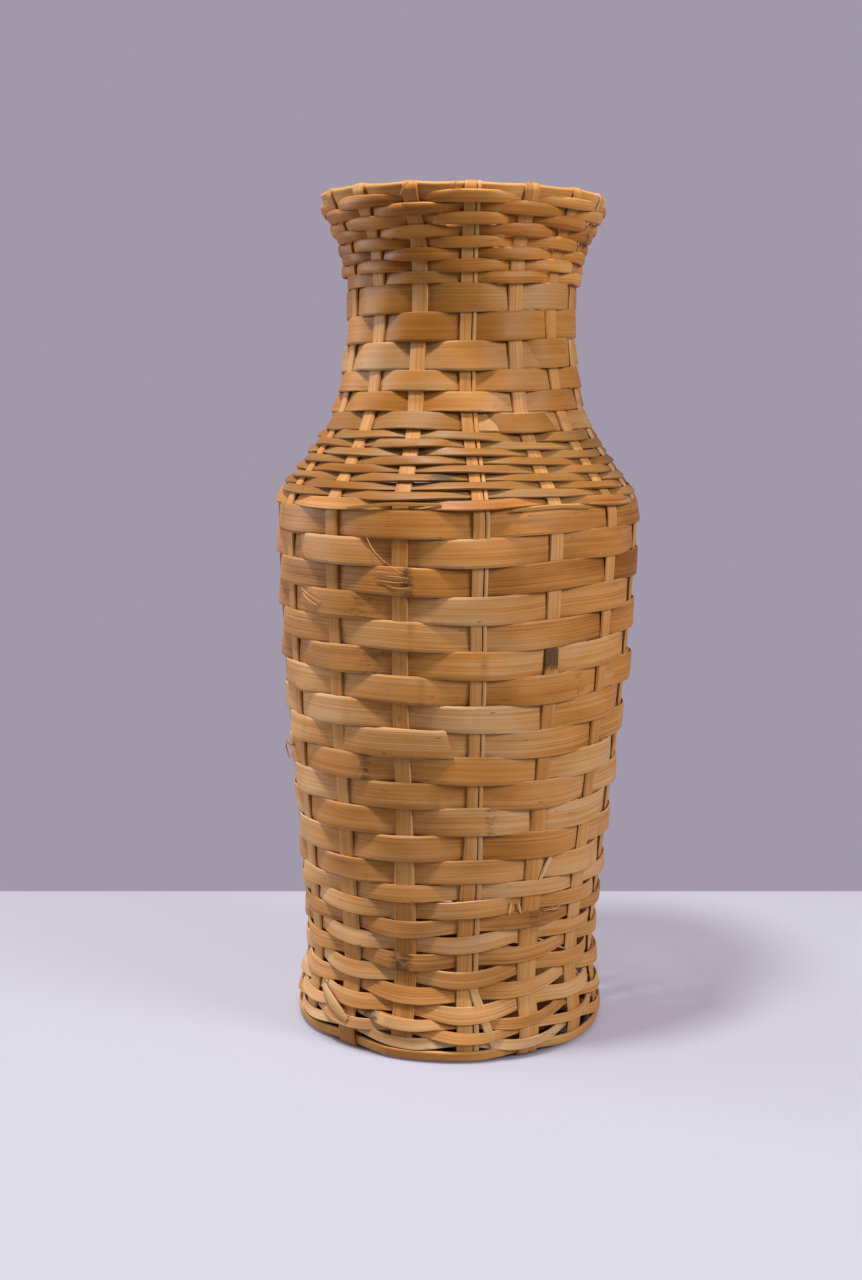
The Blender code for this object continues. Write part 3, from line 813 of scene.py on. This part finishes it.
# %% Where each weaver starts and ends
# A kind has a section (half_thick, square), a width as a share of its row (fill, with more at a hump and
# less where tucked), a wave (bulge, reach) and a wander (sway, stray, uneven).
KINDS = {
    "lower_weaver": {
        "splints": 5, "until": 11.95, "half_thick": 0.00052, "square": 9.0, "fill": 1.12, "hump": 0.0,
        "tucked": 0.10, "bulge": 1.3, "reach": 1.0, "sway": 0.0018, "stray": 0.22, "uneven": 0.05,
    },
    "body_weaver": {
        "splints": 6, "until": 25.70, "half_thick": 0.00055, "square": 9.0, "fill": 1.09, "hump": 0.03,
        "tucked": 0.08, "bulge": 1.5, "reach": 1.0, "sway": 0.0013, "stray": 0.24, "uneven": 0.05,
    },
    "shoulder_weaver": {
        "splints": 4, "until": 34.70, "half_thick": 0.00078, "square": 4.2, "fill": 1.13, "hump": -0.04,
        "tucked": 0.10, "bulge": 2.2, "reach": 0.72, "sway": 0.0010, "stray": 0.45, "uneven": 0.10,
    },
    "neck_weaver": {
        "splints": 2, "until": 40.70, "half_thick": 0.00055, "square": 9.0, "fill": 1.03, "hump": 0.03,
        "tucked": 0.06, "bulge": 1.6, "reach": 0.82, "sway": 0.0005, "stray": 0.25, "uneven": 0.04,
    },
    "rim_weaver": {
        "splints": 3, "until": 47.94, "half_thick": 0.00125, "square": 2.8, "fill": 1.04, "hump": 0.20,
        "tucked": 0.40, "bulge": 2.2, "reach": 0.9, "sway": 0.0006, "stray": 0.35, "uneven": 0.08,
    },
}
THIN_ROW, WIDE_ROW = 0.0058, 0.0085
WIDE_KIND = "neck_weaver"
FIRST_TURN = 0.06
LAP_REACH = 1.0
LAP_IN_SIGHT = 247
LAP_IN_SIGHT_REACH = 0.66


def lap_crossing(turn):
    """The stake that a lap is centred on: the nearest one that the row passes outside."""
    crossing = round(turn * STAKE_COUNT)
    return crossing if crossing % 2 == 1 else crossing - 1


def weaver_list():
    """Name, kind, first and last crossing of each weaver, and the crossing of its tail's lap or None."""
    starts, turn = [], FIRST_TURN
    for kind, facts in KINDS.items():
        for i in range(facts["splints"]):
            starts.append((kind, i + 1, turn + (facts["until"] - turn) * i / facts["splints"]))
        turn = facts["until"]
    laps = [None] + [lap_crossing(start) for _, _, start in starts[1:]] + [None]
    found = []
    for i, (kind, number, start) in enumerate(starts):
        head, tail = laps[i], laps[i + 1]
        first = start * STAKE_COUNT if head is None else head - LAP_REACH
        reach = LAP_IN_SIGHT_REACH if tail == LAP_IN_SIGHT else LAP_REACH
        last = turn * STAKE_COUNT if tail is None else tail + reach
        found.append((f"{kind}_{number}", kind, first, last, tail))
    return found


WEAVERS = weaver_list()
print("weavers:", len(WEAVERS), "over", round(WEAVERS[-1][3] / STAKE_COUNT, 1), "turns")

# %% [markdown]
# ## How the rows lie
# No row of a real basket is level. The rows wander up and down together, because each rests on the one
# below, so the wander is made of whole waves round the vase. In a few places the weave differs: low on
# the right the rows have slid apart, the right side stands further off the stakes, and round the back the
# lowest rows lie closer. A lattice could push them about, but a formula of angle and height also keeps
# the paths exact.

# %% How the rows lie
LIE_WAVES, LIE_PHASES, LIE_SHIFT = (2, 3, 5), (0.4, 2.1, 4.4), 0.35
OPENED, OPENED_STAKE, OPENED_REACH = 0.15, 2.2, 1.2
OPENED_BELOW, OPENED_FADE = 0.126, 0.045
LOOSE, LOOSE_STAKE, LOOSE_REACH = 0.55, 3.0, 1.1
LOOSE_BELOW, LOOSE_FADE = 0.255, 0.03
TIGHT, TIGHT_BELOW, TIGHT_FADE = 0.14, 0.125, 0.03
BACK_FROM, BACK_FULL = -0.05, 0.25


def row_lie(angle, turn):
    """How a row wanders up and down, in whole waves that the rows next to it share."""
    waves = zip(LIE_WAVES, DRIFT_SHARES, LIE_PHASES)
    return sum(share * np.sin(count * angle + phase + LIE_SHIFT * turn) for count, share, phase in waves)


def near_stake(angle, stake, reach):
    """One at a place among the stakes, fading out over a reach in stakes to both sides of it."""
    turns_away = (angle - stake_angle(stake)) / (2 * math.pi)
    stakes_away = STAKE_COUNT * (turns_away - np.round(turns_away))
    return np.exp(-((stakes_away / reach) ** 2))


def opened(angle, height):
    """The rows have slid apart a little round one stake, low on the right."""
    below = smooth_step((OPENED_BELOW - height) / OPENED_FADE)
    return OPENED * near_stake(angle, OPENED_STAKE, OPENED_REACH) * below


def loosened(angle, height):
    """The weave stands further off the stakes at the right side, up to the shoulder."""
    below = smooth_step((LOOSE_BELOW - height) / LOOSE_FADE)
    return 1 + LOOSE * near_stake(angle, LOOSE_STAKE, LOOSE_REACH) * below


def behind(angle):
    """One round the back of the vase and nothing round the front, with a soft change between."""
    return smooth_step((np.sin(angle) - BACK_FROM) / (BACK_FULL - BACK_FROM))


def tightened(angle, height):
    """The lower rows are packed closer round the back, which keeps the inside dark."""
    return 1 + TIGHT * behind(angle) * smooth_step((TIGHT_BELOW - height) / TIGHT_FADE)


print("rows opened by %.0f%% and loosened by %.0f%% at most" % (100 * OPENED, 100 * LOOSE))

# %% [markdown]
# ## The path of a weaver
# A weaver's two edges are worked out apart: each is a length along the wall and a step out from it. The
# middle between them is the path, and from edge to edge is its width. Only the middle could be used, with
# the wall's own direction as the width, but then a strip could not lean, and real rows lap like shingles.
# On sloping walls a step out is kept level, or the humps would ride up the shoulder. Tone, joints and
# marks are set here too, and the lower and body weavers get painted light and shade by height.

# %% Swing and sway of a weaver
STAKE_HALF_THICK = 0.0007
BEHIND_STAKE = 0.00030
LAP_STEP, LAP_CLIMB = 0.00115, 0.3
FOOT_DIP, DIP_FROM, DIP_TO = 0.0013, 0.085, 0.035
ALONG_ROW = ("half_thick", "square", "fill", "hump", "tucked", "bulge", "reach")
# What wanders along a weaver: its pace per crossing, and a number added to the weaver's seed.
WANDERS = {"twist": (2.1, 0), "uneven": (1.3, 1), "tone": (0.9, 2), "slow_tone": (0.17, 3), "stray": (1.7, 5)}


def wander(name, t, seed):
    pace, added = WANDERS[name]
    return drift(pace * t, seed + added)


def values_along(kind, width):
    """The kind's values along a row, which turn into those of a flat strip where the row is wide."""
    wide = smooth_step((width - THIN_ROW) / (WIDE_ROW - THIN_ROW))
    own, flat = KINDS[kind], KINDS[WIDE_KIND]
    return {name: own[name] + (flat[name] - own[name]) * wide for name in ALONG_ROW}


def over_stake(t):
    """One where a weaver passes outside a stake, minus one where it passes inside."""
    return -np.cos(math.pi * t)


def lap_rise(t, tail):
    """The tail of a weaver climbs over the head of the next one."""
    if tail is None:
        return 0.0
    return LAP_STEP * smooth_step((t - tail + LAP_REACH + LAP_CLIMB / 2) / LAP_CLIMB)


def weaver_out(t, angle, height, facts, tail):
    """How far a weaver stands out from the wall: its swing round the stakes, and the climb at its lap."""
    swing = wave(t, spiral_side, flat_share(t))
    swing = 1 - 2 * ((1 - swing) / 2) ** facts["bulge"]
    rise = lap_rise(t, tail)
    out = swing * facts["reach"] * (STAKE_HALF_THICK + BEHIND_STAKE + facts["half_thick"])
    out *= loosened(angle, height)
    return out + (rise if tail == LAP_IN_SIGHT else swing * rise)


def weaver_sway(t, angle, low, high, out, kind, seed):
    """How far a row lies along the wall from its even place, dipping over stakes near the foot."""
    lie = row_lie(angle, t / STAKE_COUNT) + KINDS[kind]["stray"] * wander("stray", t, seed)
    near_foot = smooth_step((DIP_FROM - low) / (DIP_FROM - DIP_TO))
    dip = FOOT_DIP * over_stake(t) * near_foot * (1 - behind(angle))
    level = out * np.tan(np.interp((low + high) / 2, WALL_LENGTHS, WALL_LEAN))
    return KINDS[kind]["sway"] * lie - dip + level


def width_share(t, facts, kind, seed):
    """The width of a weaver as a share of its row."""
    over = over_stake(t)
    wider = np.where(over > 0, facts["hump"], -facts["tucked"]) * over
    return facts["fill"] + wider + KINDS[kind]["uneven"] * wander("uneven", t, seed)


def strip_between(low_edge, high_edge, angle):
    """Middle, width direction and half width of a strip between edges, each a length and a step out."""
    low_points = turned(*wall_place(*low_edge), angle)
    high_points = turned(*wall_place(*high_edge), angle)
    side = high_points - low_points
    half = np.linalg.norm(side, axis=1) / 2
    return (low_points + high_points) / 2, side / (2 * half[:, None]), half


print("wander along a weaver:", ", ".join(WANDERS))

# %% Tone, joints and marks of a weaver
TONE_QUICK, TONE_SLOW = 0.8, 0.6
KINDS_WITH_PAINTED_SHADE = ("lower_weaver", "body_weaver")
# Painted light and shade by height on the lower and body weavers: paler at the foot and on the lower body,
# darker at the top of the body.
PAINTED_SHADE_HEIGHTS = (0.0, 0.034, 0.070, 0.100, 0.165, 0.205, 0.240, 0.270)
PAINTED_SHADE_LEVELS = (0.9, 0.0, 0.0, 0.5, 0.5, 0.0, -0.5, -0.5)
JOINT_SPACING, JOINT_SPREAD, FIRST_JOINT = 0.26, (0.85, 1.15), 0.05
JOINT_STAIN, JOINT_STAIN_STRENGTH = 0.005, (0.5, 0.9)
STAINED_JOINTS = slice(2, None, 4)


def weaver_tone(t, height, kind, seed):
    """Paler or darker along a weaver at random, and painted light and shade by height on the lower and body
    weavers.
    """
    tone = TONE_QUICK * wander("tone", t, seed) + TONE_SLOW * wander("slow_tone", t, seed)
    if kind in KINDS_WITH_PAINTED_SHADE:
        tone = tone + np.interp(height, PAINTED_SHADE_HEIGHTS, PAINTED_SHADE_LEVELS)
    return tone


def weaver_marks(t, lengths, seed):
    """The joints of the cane along a weaver, and its weather marks, some of which sit on joints."""
    random = np.random.default_rng(seed)
    spacing = JOINT_SPACING * random.uniform(*JOINT_SPREAD)
    joints = np.arange(random.uniform(FIRST_JOINT, JOINT_SPACING), lengths[-1], spacing)
    marks = [(np.interp(c, t, lengths), spread, s) for c, spread, s in WEATHER_MARKS if t[0] < c < t[-1]]
    marks += [(at, JOINT_STAIN, random.uniform(*JOINT_STAIN_STRENGTH)) for at in joints[STAINED_JOINTS]]
    return joints, marks


print("joints of the cane about", JOINT_SPACING, "m apart")

# %% The path of a weaver
SAMPLES_PER_CROSSING = 14
SHINGLE, TWIST = 0.0004, 0.00055
CUT_SLANT, CUT_LENGTH = 0.30, 0.5


def weaver_chain(name, kind, first, last, tail):
    """The whole path of one weaver, from its first crossing to its last."""
    seed = sum(map(ord, name))
    t = np.linspace(first, last, int((last - first) * SAMPLES_PER_CROSSING) + 1)
    low, high = row_span(t)
    height = wall_place((low + high) / 2, 0.0)[1]
    angle = crossing_angle(t) + neck_twist(height)
    facts = values_along(kind, high - low)
    out = weaver_out(t, angle, height, facts, tail)
    sway = weaver_sway(t, angle, low, high, out, kind, seed)
    twist = SHINGLE + TWIST * wander("twist", t, seed)
    centre, side, half = strip_between((low + sway, out + twist), (high + sway, out - twist), angle)
    half *= width_share(t, facts, kind, seed)
    half *= (1 - opened(angle, centre[:, 2])) * tightened(angle, height)
    if tail == LAP_IN_SIGHT:
        slant = CUT_SLANT * np.clip(1 - (last - t) / CUT_LENGTH, 0.0, 1.0)
        side = side - directions(centre) * slant[:, None]
    tone = weaver_tone(t, centre[:, 2], kind, seed)
    joints, marks = weaver_marks(t, path_lengths(centre), seed)
    return chain(centre, side, half, facts["half_thick"], tone, joints, marks, facts["square"])


for name, kind, first, last, tail in WEAVERS:
    made = weaver_chain(name, kind, first, last, tail)
    piece = make_piece(name, [made] + splinters_of(name), kind)
print("last weaver:", piece.name, len(piece.data.polygons), "faces")

# %% [markdown]
# ## The stakes
# The stakes are wider at the foot. At the top each one bends over the rim hoop and goes down inside it.
# At the foot every third one folds under the foot hoop, and the others end behind it. A Bezier curve
# could bend like that, but its handles would need setting by hand. A few corner points in the plane of
# the stake, filled in finely and then averaged, round every corner alike.

# %% Corners of a stake
RIM_HOOP_BELOW_TOP = 0.0036
RIM_HOOP_LOW = BAND_LENGTHS[-1] - RIM_HOOP_BELOW_TOP
RIM_HOOP_HEIGHT, RIM_HOOP_THICKNESS, RIM_HOOP_BULGE = 0.0080, 0.0030, 0.0017
FOOT_HOOP_LOW, FOOT_HOOP_HEIGHT, FOOT_HOOP_THICKNESS = 0.00155, 0.0048, 0.0020
FIT = 0.00012
OFF_TABLE = 0.0002
STAKE_PRESSED_IN = 0.0003
STAKE_TAIL = 0.014
FOLD_TOP = 0.0085
FOLDED_FOOT_EVERY, FIRST_FOLDED_FOOT = 3, 1
PATH_STEP = 0.0008
CORNER_REACH = 3


def rounded_path(corners):
    """The corner points of a path filled in at even steps, with the corners averaged round."""
    corners = np.array(corners)
    lengths = path_lengths(corners)
    steps = np.linspace(0.0, lengths[-1], int(lengths[-1] / PATH_STEP))
    fine = np.stack([np.interp(steps, lengths, corners[:, i]) for i in range(2)], axis=1)
    mean = np.stack([averaged(column, CORNER_REACH, mode="edge") for column in fine.T], axis=1)
    mean[0], mean[-1] = fine[0], fine[-1]
    return mean


def wall_point(length, out):
    return tuple(map(float, wall_place(length, out)))


def stake_corners(folded_foot):
    """Radius and height of a stake's middle from its foot, up the wall, over the rim hoop and down inside."""
    over = RIM_HOOP_LOW + RIM_HOOP_HEIGHT - STAKE_PRESSED_IN
    inside = -(2 * STAKE_HALF_THICK + 2 * FIT + RIM_HOOP_THICKNESS)
    lengths = np.arange(length_at(FOOT_HOOP_LOW), over, PATH_STEP)
    points = [wall_point(length, 0.0) for length in lengths]
    points += [wall_point(over, 0.0), wall_point(over, inside), wall_point(over - STAKE_TAIL, inside)]
    if folded_foot:
        outside = points[0][0]
        within = outside - 2 * STAKE_HALF_THICK - 2 * FIT - FOOT_HOOP_THICKNESS
        under = STAKE_HALF_THICK + OFF_TABLE
        points = [(within, FOLD_TOP), (within, under), (outside, under)] + points[1:]
    return points


print("stake path:", len(rounded_path(stake_corners(True))), "points")

# %% The path of a stake
STAKE_SWAY, STAKE_SWAY_PACE = 0.0006, 26
STAKE_UNEVEN, STAKE_UNEVEN_PACE = 0.03, 60
STAKE_TONE, STAKE_TONE_PACE = 0.6, 30
# A joint's lowest place, its step up from each stake to the next, and after how many stakes it starts again.
STAKE_JOINTS = ((0.06, 0.013, 13), (0.30, 0.009, 11))


def spun(vectors, angle):
    """Vectors turned about the axis, each by its own angle."""
    x, y, z = vectors.T
    return np.stack([x * np.cos(angle) - y * np.sin(angle), x * np.sin(angle) + y * np.cos(angle), z], axis=1)


def stake_chain(path, angle, seed, left, right, lift=0.0, tone=0.0):
    """Part of a stake from left to right, each a share of its width from -1 to 1."""
    radius, height = path[:, 0], path[:, 1]
    across = np.array([-math.sin(angle), math.cos(angle), 0.0])
    outward = np.array([math.cos(angle), math.sin(angle), 0.0])
    half = stake_width(height) / 2
    sway = STAKE_SWAY * drift(height * STAKE_SWAY_PACE, seed)
    middle = half * (left + right) / 2 + sway
    tangent = directions(path)
    radius = radius + lift * tangent[:, 1]
    height = height - lift * tangent[:, 0]
    centre = radius[:, None] * outward + middle[:, None] * across
    centre[:, 2] = height
    side = np.tile(-across, (len(path), 1))
    centre, side = spun(centre, neck_twist(height)), spun(side, neck_twist(height))
    width = half * (right - left) / 2 * (1 + STAKE_UNEVEN * drift(height * STAKE_UNEVEN_PACE, seed + 1))
    shade = tone + STAKE_TONE * drift(height * STAKE_TONE_PACE, seed + 2)
    joints = [lowest + step * (seed % count) for lowest, step, count in STAKE_JOINTS]
    stains = ()
    if seed in STAKE_MARKS:
        mark, spread, strength = STAKE_MARKS[seed]
        stains = [(path_lengths(centre)[np.argmax(height > mark)], spread, strength)]
    return chain(centre, side, width, STAKE_HALF_THICK, shade, joints, stains)


print("joints on a stake:", len(STAKE_JOINTS))

# %% [markdown]
# ## Split stakes
# Some stakes have split along the grain, and a pale sliver stands beside the rest. A groove in the finish
# could suggest that, but a real split catches the light on its own edges. So such a stake is two chains
# side by side.

# %% Fifteen stakes
SLIVER_STAKES = {0: 0.50, 4: 0.5, 7: 0.42, 10: 0.5}
SLIVER_GAP = 0.035
SLIVER_LIFT, SLIVER_PALE = 0.00015, 0.7
STAKE_STRIDE = 3


def make_stake(index):
    folded = index % FOLDED_FOOT_EVERY == FIRST_FOLDED_FOOT
    path = rounded_path(stake_corners(folded))[::STAKE_STRIDE]
    angle = stake_angle(index)
    if index in SLIVER_STAKES:
        split = SLIVER_STAKES[index]
        chains = [
            stake_chain(path, angle, index, -1.0, split - SLIVER_GAP),
            stake_chain(path, angle, index, split + SLIVER_GAP, 1.0, lift=SLIVER_LIFT, tone=SLIVER_PALE),
        ]
    else:
        chains = [stake_chain(path, angle, index, -1.0, 1.0)]
    node = f"stake_{index + 1:02d}"
    return make_piece(node, chains + splinters_of(node), "stake", points=16, crown=0.04)


for index in range(STAKE_COUNT):
    piece = make_stake(index)
print("stakes:", STAKE_COUNT, "of", len(piece.data.polygons), "faces")

# %% [markdown]
# ## The hoops
# The rim hoop is a stout flattened cane inside the stake tops that bows out between them. The foot hoop
# is a flat splint outside most stakes and inside the folded ones. A torus could stand for either, but a
# real hoop is a strip that was bent round until its ends lap, so both are chains with a step where they
# lap.

# %% Rim hoop and foot hoop
HOOP_LAP = 0.6
HOOP_START = 7.3
HOOP_SQUARE = 4.0
HOOP_CLIMB = 0.3
HOOP_PALE, HOOP_TONE, HOOP_TONE_PACE = 0.5, 0.7, 0.8
HOOP_JOINTS = (0.04, 0.21, 0.37)


def hoop_chain(low, high, thickness, side_of, bulge, seed):
    """The path of a hoop between two lengths along the wall, once round and a little further."""
    t = np.linspace(HOOP_START, HOOP_START + STAKE_COUNT + HOOP_LAP, STAKE_COUNT * SAMPLES_PER_CROSSING)
    radius, height = wall_place((low + high) / 2, 0.0)
    angle = stake_angle(t) + neck_twist(height)
    flat = flat_at(radius, height)
    lapped = smooth_step((t - HOOP_START - STAKE_COUNT + HOOP_CLIMB) / HOOP_CLIMB)
    lap = thickness * lapped * (t - HOOP_START) / STAKE_COUNT
    out = wave(t, side_of, flat) * (STAKE_HALF_THICK + FIT + thickness / 2) + lap * np.sign(side_of(t[-1:]))
    out += bulge * np.sin(math.pi * t) ** 2
    centre, side, half = strip_between((low, out), (high, out), angle)
    tone = HOOP_PALE + HOOP_TONE * drift(HOOP_TONE_PACE * t, seed)
    return chain(centre, side, half, thickness / 2, tone, HOOP_JOINTS, square=HOOP_SQUARE)


def rim_hoop_side(index):
    return np.full_like(index, -1.0)


def foot_hoop_side(index):
    return np.where(index % FOLDED_FOOT_EVERY == FIRST_FOLDED_FOOT, -1.0, 1.0)


rim_high = RIM_HOOP_LOW + RIM_HOOP_HEIGHT
rim_chain = hoop_chain(RIM_HOOP_LOW, rim_high, RIM_HOOP_THICKNESS, rim_hoop_side, RIM_HOOP_BULGE, seed=31)
make_piece("rim_hoop", [rim_chain] + splinters_of("rim_hoop"), "hoop")
foot_low, foot_high = length_at(np.array([FOOT_HOOP_LOW, FOOT_HOOP_LOW + FOOT_HOOP_HEIGHT]))
foot_chain = hoop_chain(foot_low, foot_high, FOOT_HOOP_THICKNESS, foot_hoop_side, bulge=0.0, seed=32)
make_piece("foot_hoop", [foot_chain], "hoop")

# %% [markdown]
# ## The base
# Inside the foot a ring carries a plaited mat: six flat splints each way, over one and under the next. A
# weave painted on a disc would pass from above, but light comes through the foot and shows the strips'
# shadows. Each splint takes its place from the frame's own box, so only its wave is made here.

# %% Ring and mat
RING_HALF_THICK = 0.0015
RING_POINTS = 120
RING_JOINTS = (0.1, 0.3)
RING_SEED = 41
MAT_SPLINTS = 6
MAT_HALF_THICK = 0.0005
MAT_LIFT = 0.00068
MAT_STEP = 0.0015
MAT_TONE, MAT_TONE_PACE, MAT_SEED = 0.8, 30, 50


def base_ring_chain():
    low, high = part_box("base_ring")
    radius = (high.x - low.x) / 2 - RING_HALF_THICK
    angle = np.linspace(0.0, 2 * math.pi, RING_POINTS)
    centre = turned(radius, (low.z + high.z) / 2, angle)
    side = np.tile([0.0, 0.0, 1.0], (len(angle), 1))
    half_width = (high.z - low.z) / 2
    return chain(centre, side, half_width, RING_HALF_THICK, drift(angle, RING_SEED), RING_JOINTS)


def mat_chain(node, number, along_axis):
    """A mat splint along X or Y, with its ends and its middle from the frame's box."""
    low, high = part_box(node)
    across_axis = 1 - along_axis
    start, end = low[along_axis], high[along_axis]
    place = np.linspace(start, end, int((end - start) / MAT_STEP))
    first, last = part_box("base_splint_along_1"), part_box(f"base_splint_along_{MAT_SPLINTS}")
    pitch = abs((last[0].x + last[1].x) - (first[0].x + first[1].x)) / 2 / (MAT_SPLINTS - 1)
    swing = np.sin(math.pi * (place / pitch)) * (-1) ** (number + along_axis)
    centre = np.zeros((len(place), 3))
    centre[:, along_axis] = place
    centre[:, across_axis] = (low[across_axis] + high[across_axis]) / 2
    centre[:, 2] = (low.z + high.z) / 2 + MAT_LIFT * swing
    side = np.zeros_like(centre)
    side[:, across_axis] = 1.0 if along_axis == 0 else -1.0
    half_width = (high[across_axis] - low[across_axis]) / 2
    tone = MAT_TONE * drift(place * MAT_TONE_PACE, MAT_SEED + number)
    return chain(centre, side, half_width, MAT_HALF_THICK, tone)


make_piece("base_ring", [base_ring_chain()], "base", points=12)
for along_axis, way in enumerate(("across", "along")):
    for number in range(1, MAT_SPLINTS + 1):
        node = f"base_splint_{way}_{number}"
        piece = make_piece(node, [mat_chain(node, number, along_axis)], "base", points=12, crown=0.0)
print("mat splint:", len(piece.data.polygons), "faces")

# %% [markdown]
# ## The table and the room
# The vase stands on a pale table top in front of a lavender grey room. Walls could be modelled, but they
# would throw their own light. Here the backdrop is a colour that only the rays that show the room see, so
# it adds no light, and the world lights the vase warmly and weakly. The table top is lifted to its pale
# colour in the same way past the foot. Under the vase it has a dark painted shade, where the gaps of the
# foot let the eye in, and where it turns pale it paints a thin contact shadow round the foot.

# %% Rays that show the room
def background_ray(tree):
    """One for the rays that show the room: from the camera, off a glossy face or through a clear one."""
    path = add_node(tree, "ShaderNodeLightPath").outputs
    passed_on = calc(tree, "MAXIMUM", path["Is Glossy Ray"], path["Is Transmission Ray"])
    return calc(tree, "MAXIMUM", path["Is Camera Ray"], passed_on)


def seen_or_bounced(tree, seen, bounced, output):
    """One shader for the rays that show the room, and another for the light that it sends back."""
    chosen = add_node(tree, "ShaderNodeMixShader", {"Fac": background_ray(tree)})
    plug(tree, bounced.outputs[0], chosen.inputs[1])
    plug(tree, seen.outputs[0], chosen.inputs[2])
    plug(tree, chosen.outputs[0], tree.nodes[output].inputs["Surface"])


print("rays that show the room: camera, glossy and transmission")

# %% Table
TABLE_SEEN = (0.182, 0.199, 0.196, 1.0)
# Painted shade: the dark colour of the table top under the vase, seen through the gaps of the foot.
TABLE_PAINTED_SHADE = (0.085, 0.072, 0.062, 1.0)
TABLE_LIFT = (0.265, 0.196, 0.271, 1.0)
# Over these distances from the axis the table top turns from the painted shade to its pale lifted colour,
# which paints a thin contact shadow round the foot.
LIFT_FROM, LIFT_FULL = 0.071, 0.082
TABLE_BOUNCE = (0.28, 0.28, 0.29, 1.0)
TABLE_EDGE = 0.21
TABLE_EDGE_TURN = 0.0558
TABLE_REACH = 3.0
TABLE_ROUGHNESS = 0.8


def make_table():
    mesh = bpy.data.meshes.new("table")
    corners = [(-TABLE_REACH, -TABLE_REACH, 0.0), (TABLE_REACH, -TABLE_REACH, 0.0)]
    corners += [(x, TABLE_EDGE + TABLE_EDGE_TURN * x, 0.0) for x in (TABLE_REACH, -TABLE_REACH)]
    mesh.from_pydata(corners, [], [(0, 1, 2, 3)])
    material = bpy.data.materials.new("table_top")
    material.use_nodes = True
    tree = material.node_tree
    bounced = tree.nodes["Principled BSDF"]
    bounced.inputs["Base Color"].default_value = TABLE_BOUNCE
    bounced.inputs["Roughness"].default_value = TABLE_ROUGHNESS
    place = add_node(tree, "ShaderNodeTexCoord").outputs["Object"]
    from_axis = add_node(tree, "ShaderNodeVectorMath", {"Vector": place}, operation="LENGTH").outputs["Value"]
    # Painted shade under the vase and a painted contact shadow round the foot, pale past it.
    past_foot = add_node(tree, "ShaderNodeMapRange", {"Value": from_axis, "From Min": LIFT_FROM,
                                                      "From Max": LIFT_FULL}, interpolation_type="SMOOTHSTEP")
    seen_colour = mixed(tree, past_foot.outputs["Result"], TABLE_PAINTED_SHADE, TABLE_SEEN)
    seen = add_node(tree, "ShaderNodeBsdfPrincipled", {
        "Base Color": seen_colour, "Roughness": TABLE_ROUGHNESS,
        "Emission Color": TABLE_LIFT, "Emission Strength": past_foot.outputs["Result"]})
    seen_or_bounced(tree, seen, bounced, "Material Output")
    mesh.materials.append(material)
    table = add_object("table", mesh)


make_table()
print("table edge at", TABLE_EDGE, "m behind the axis")

# %% Room
BACKDROP_COLOUR = (0.356, 0.319, 0.397, 1.0)
ROOM_COLOUR = (1.0, 0.73, 0.40, 1.0)
ROOM_STRENGTH = 0.17


def make_room():
    world = bpy.data.worlds.new("room")
    bpy.context.scene.world = world
    world.use_nodes = True
    tree = world.node_tree
    room = tree.nodes["Background"]
    room.inputs["Color"].default_value = ROOM_COLOUR
    room.inputs["Strength"].default_value = ROOM_STRENGTH
    backdrop = add_node(tree, "ShaderNodeBackground", {"Color": BACKDROP_COLOUR, "Strength": 1.0})
    seen_or_bounced(tree, backdrop, room, "World Output")


make_room()
print("room light:", ROOM_STRENGTH)

# %% [markdown]
# ## The lights
# A fairly small lamp high on the left is the key: it throws the small shadows between the humps. Broad
# soft lamps on the right and on the left keep both sides bright. A sun and a sky would do for outdoors,
# but disks of a set size give the soft edges of a room. Each is placed by its direction from the vase and
# its distance.

# %% Lights
LIGHT_AIM = np.array([0.0, 0.0, 0.22])
# A lamp is its name, direction, distance, size, power in watts and colour.
LAMPS = (
    ("key_above", (-0.215, -0.200, 0.956), 1.6, 0.22, 47.0, (0.96, 1.0, 1.06)),
    ("fill_right", (0.71, -0.50, 0.49), 1.4, 0.6, 19.5, (0.96, 1.05, 1.18)),
    ("fill_left", (-0.93, 0.20, 0.22), 1.6, 0.9, 19.5, (0.91, 1.05, 1.16)),
)


def add_light(name, direction, distance, size, power, colour):
    lamp = bpy.data.lights.new(name, "AREA")
    lamp.shape = "DISK"
    lamp.size = size
    lamp.energy = power
    lamp.color = colour
    light = add_object(name, lamp)
    direction = np.array(direction) / np.linalg.norm(direction)
    light.location = LIGHT_AIM + direction * distance
    light.rotation_mode = "QUATERNION"
    light.rotation_quaternion = Vector(-direction).to_track_quat("-Z", "Y")


for facts in LAMPS:
    add_light(*facts)

# %% [markdown]
# ## The camera
# The camera looks slightly down on the vase from about a table's depth away, and is held a little askew,
# as by hand. A Track To constraint could aim it, but pitch and roll as plain numbers say the angle
# directly.

# %% Camera
CAMERA_PLACE = (-0.0125, -0.878, 0.327)
CAMERA_PITCH = 8.46
CAMERA_ROLL = 0.93
CAMERA_LENS = 48.57


def make_camera():
    data = bpy.data.cameras.new("camera")
    data.lens = CAMERA_LENS
    camera = add_object("camera", data)
    pitch = Matrix.Rotation(math.radians(90 - CAMERA_PITCH), 4, "X")
    roll = Matrix.Rotation(math.radians(CAMERA_ROLL), 4, "Z")
    camera.matrix_world = Matrix.Translation(CAMERA_PLACE) @ pitch @ roll
    bpy.context.scene.camera = camera


make_camera()
bpy.context.scene.view_settings.view_transform = "Standard"
print("camera at", CAMERA_PLACE)
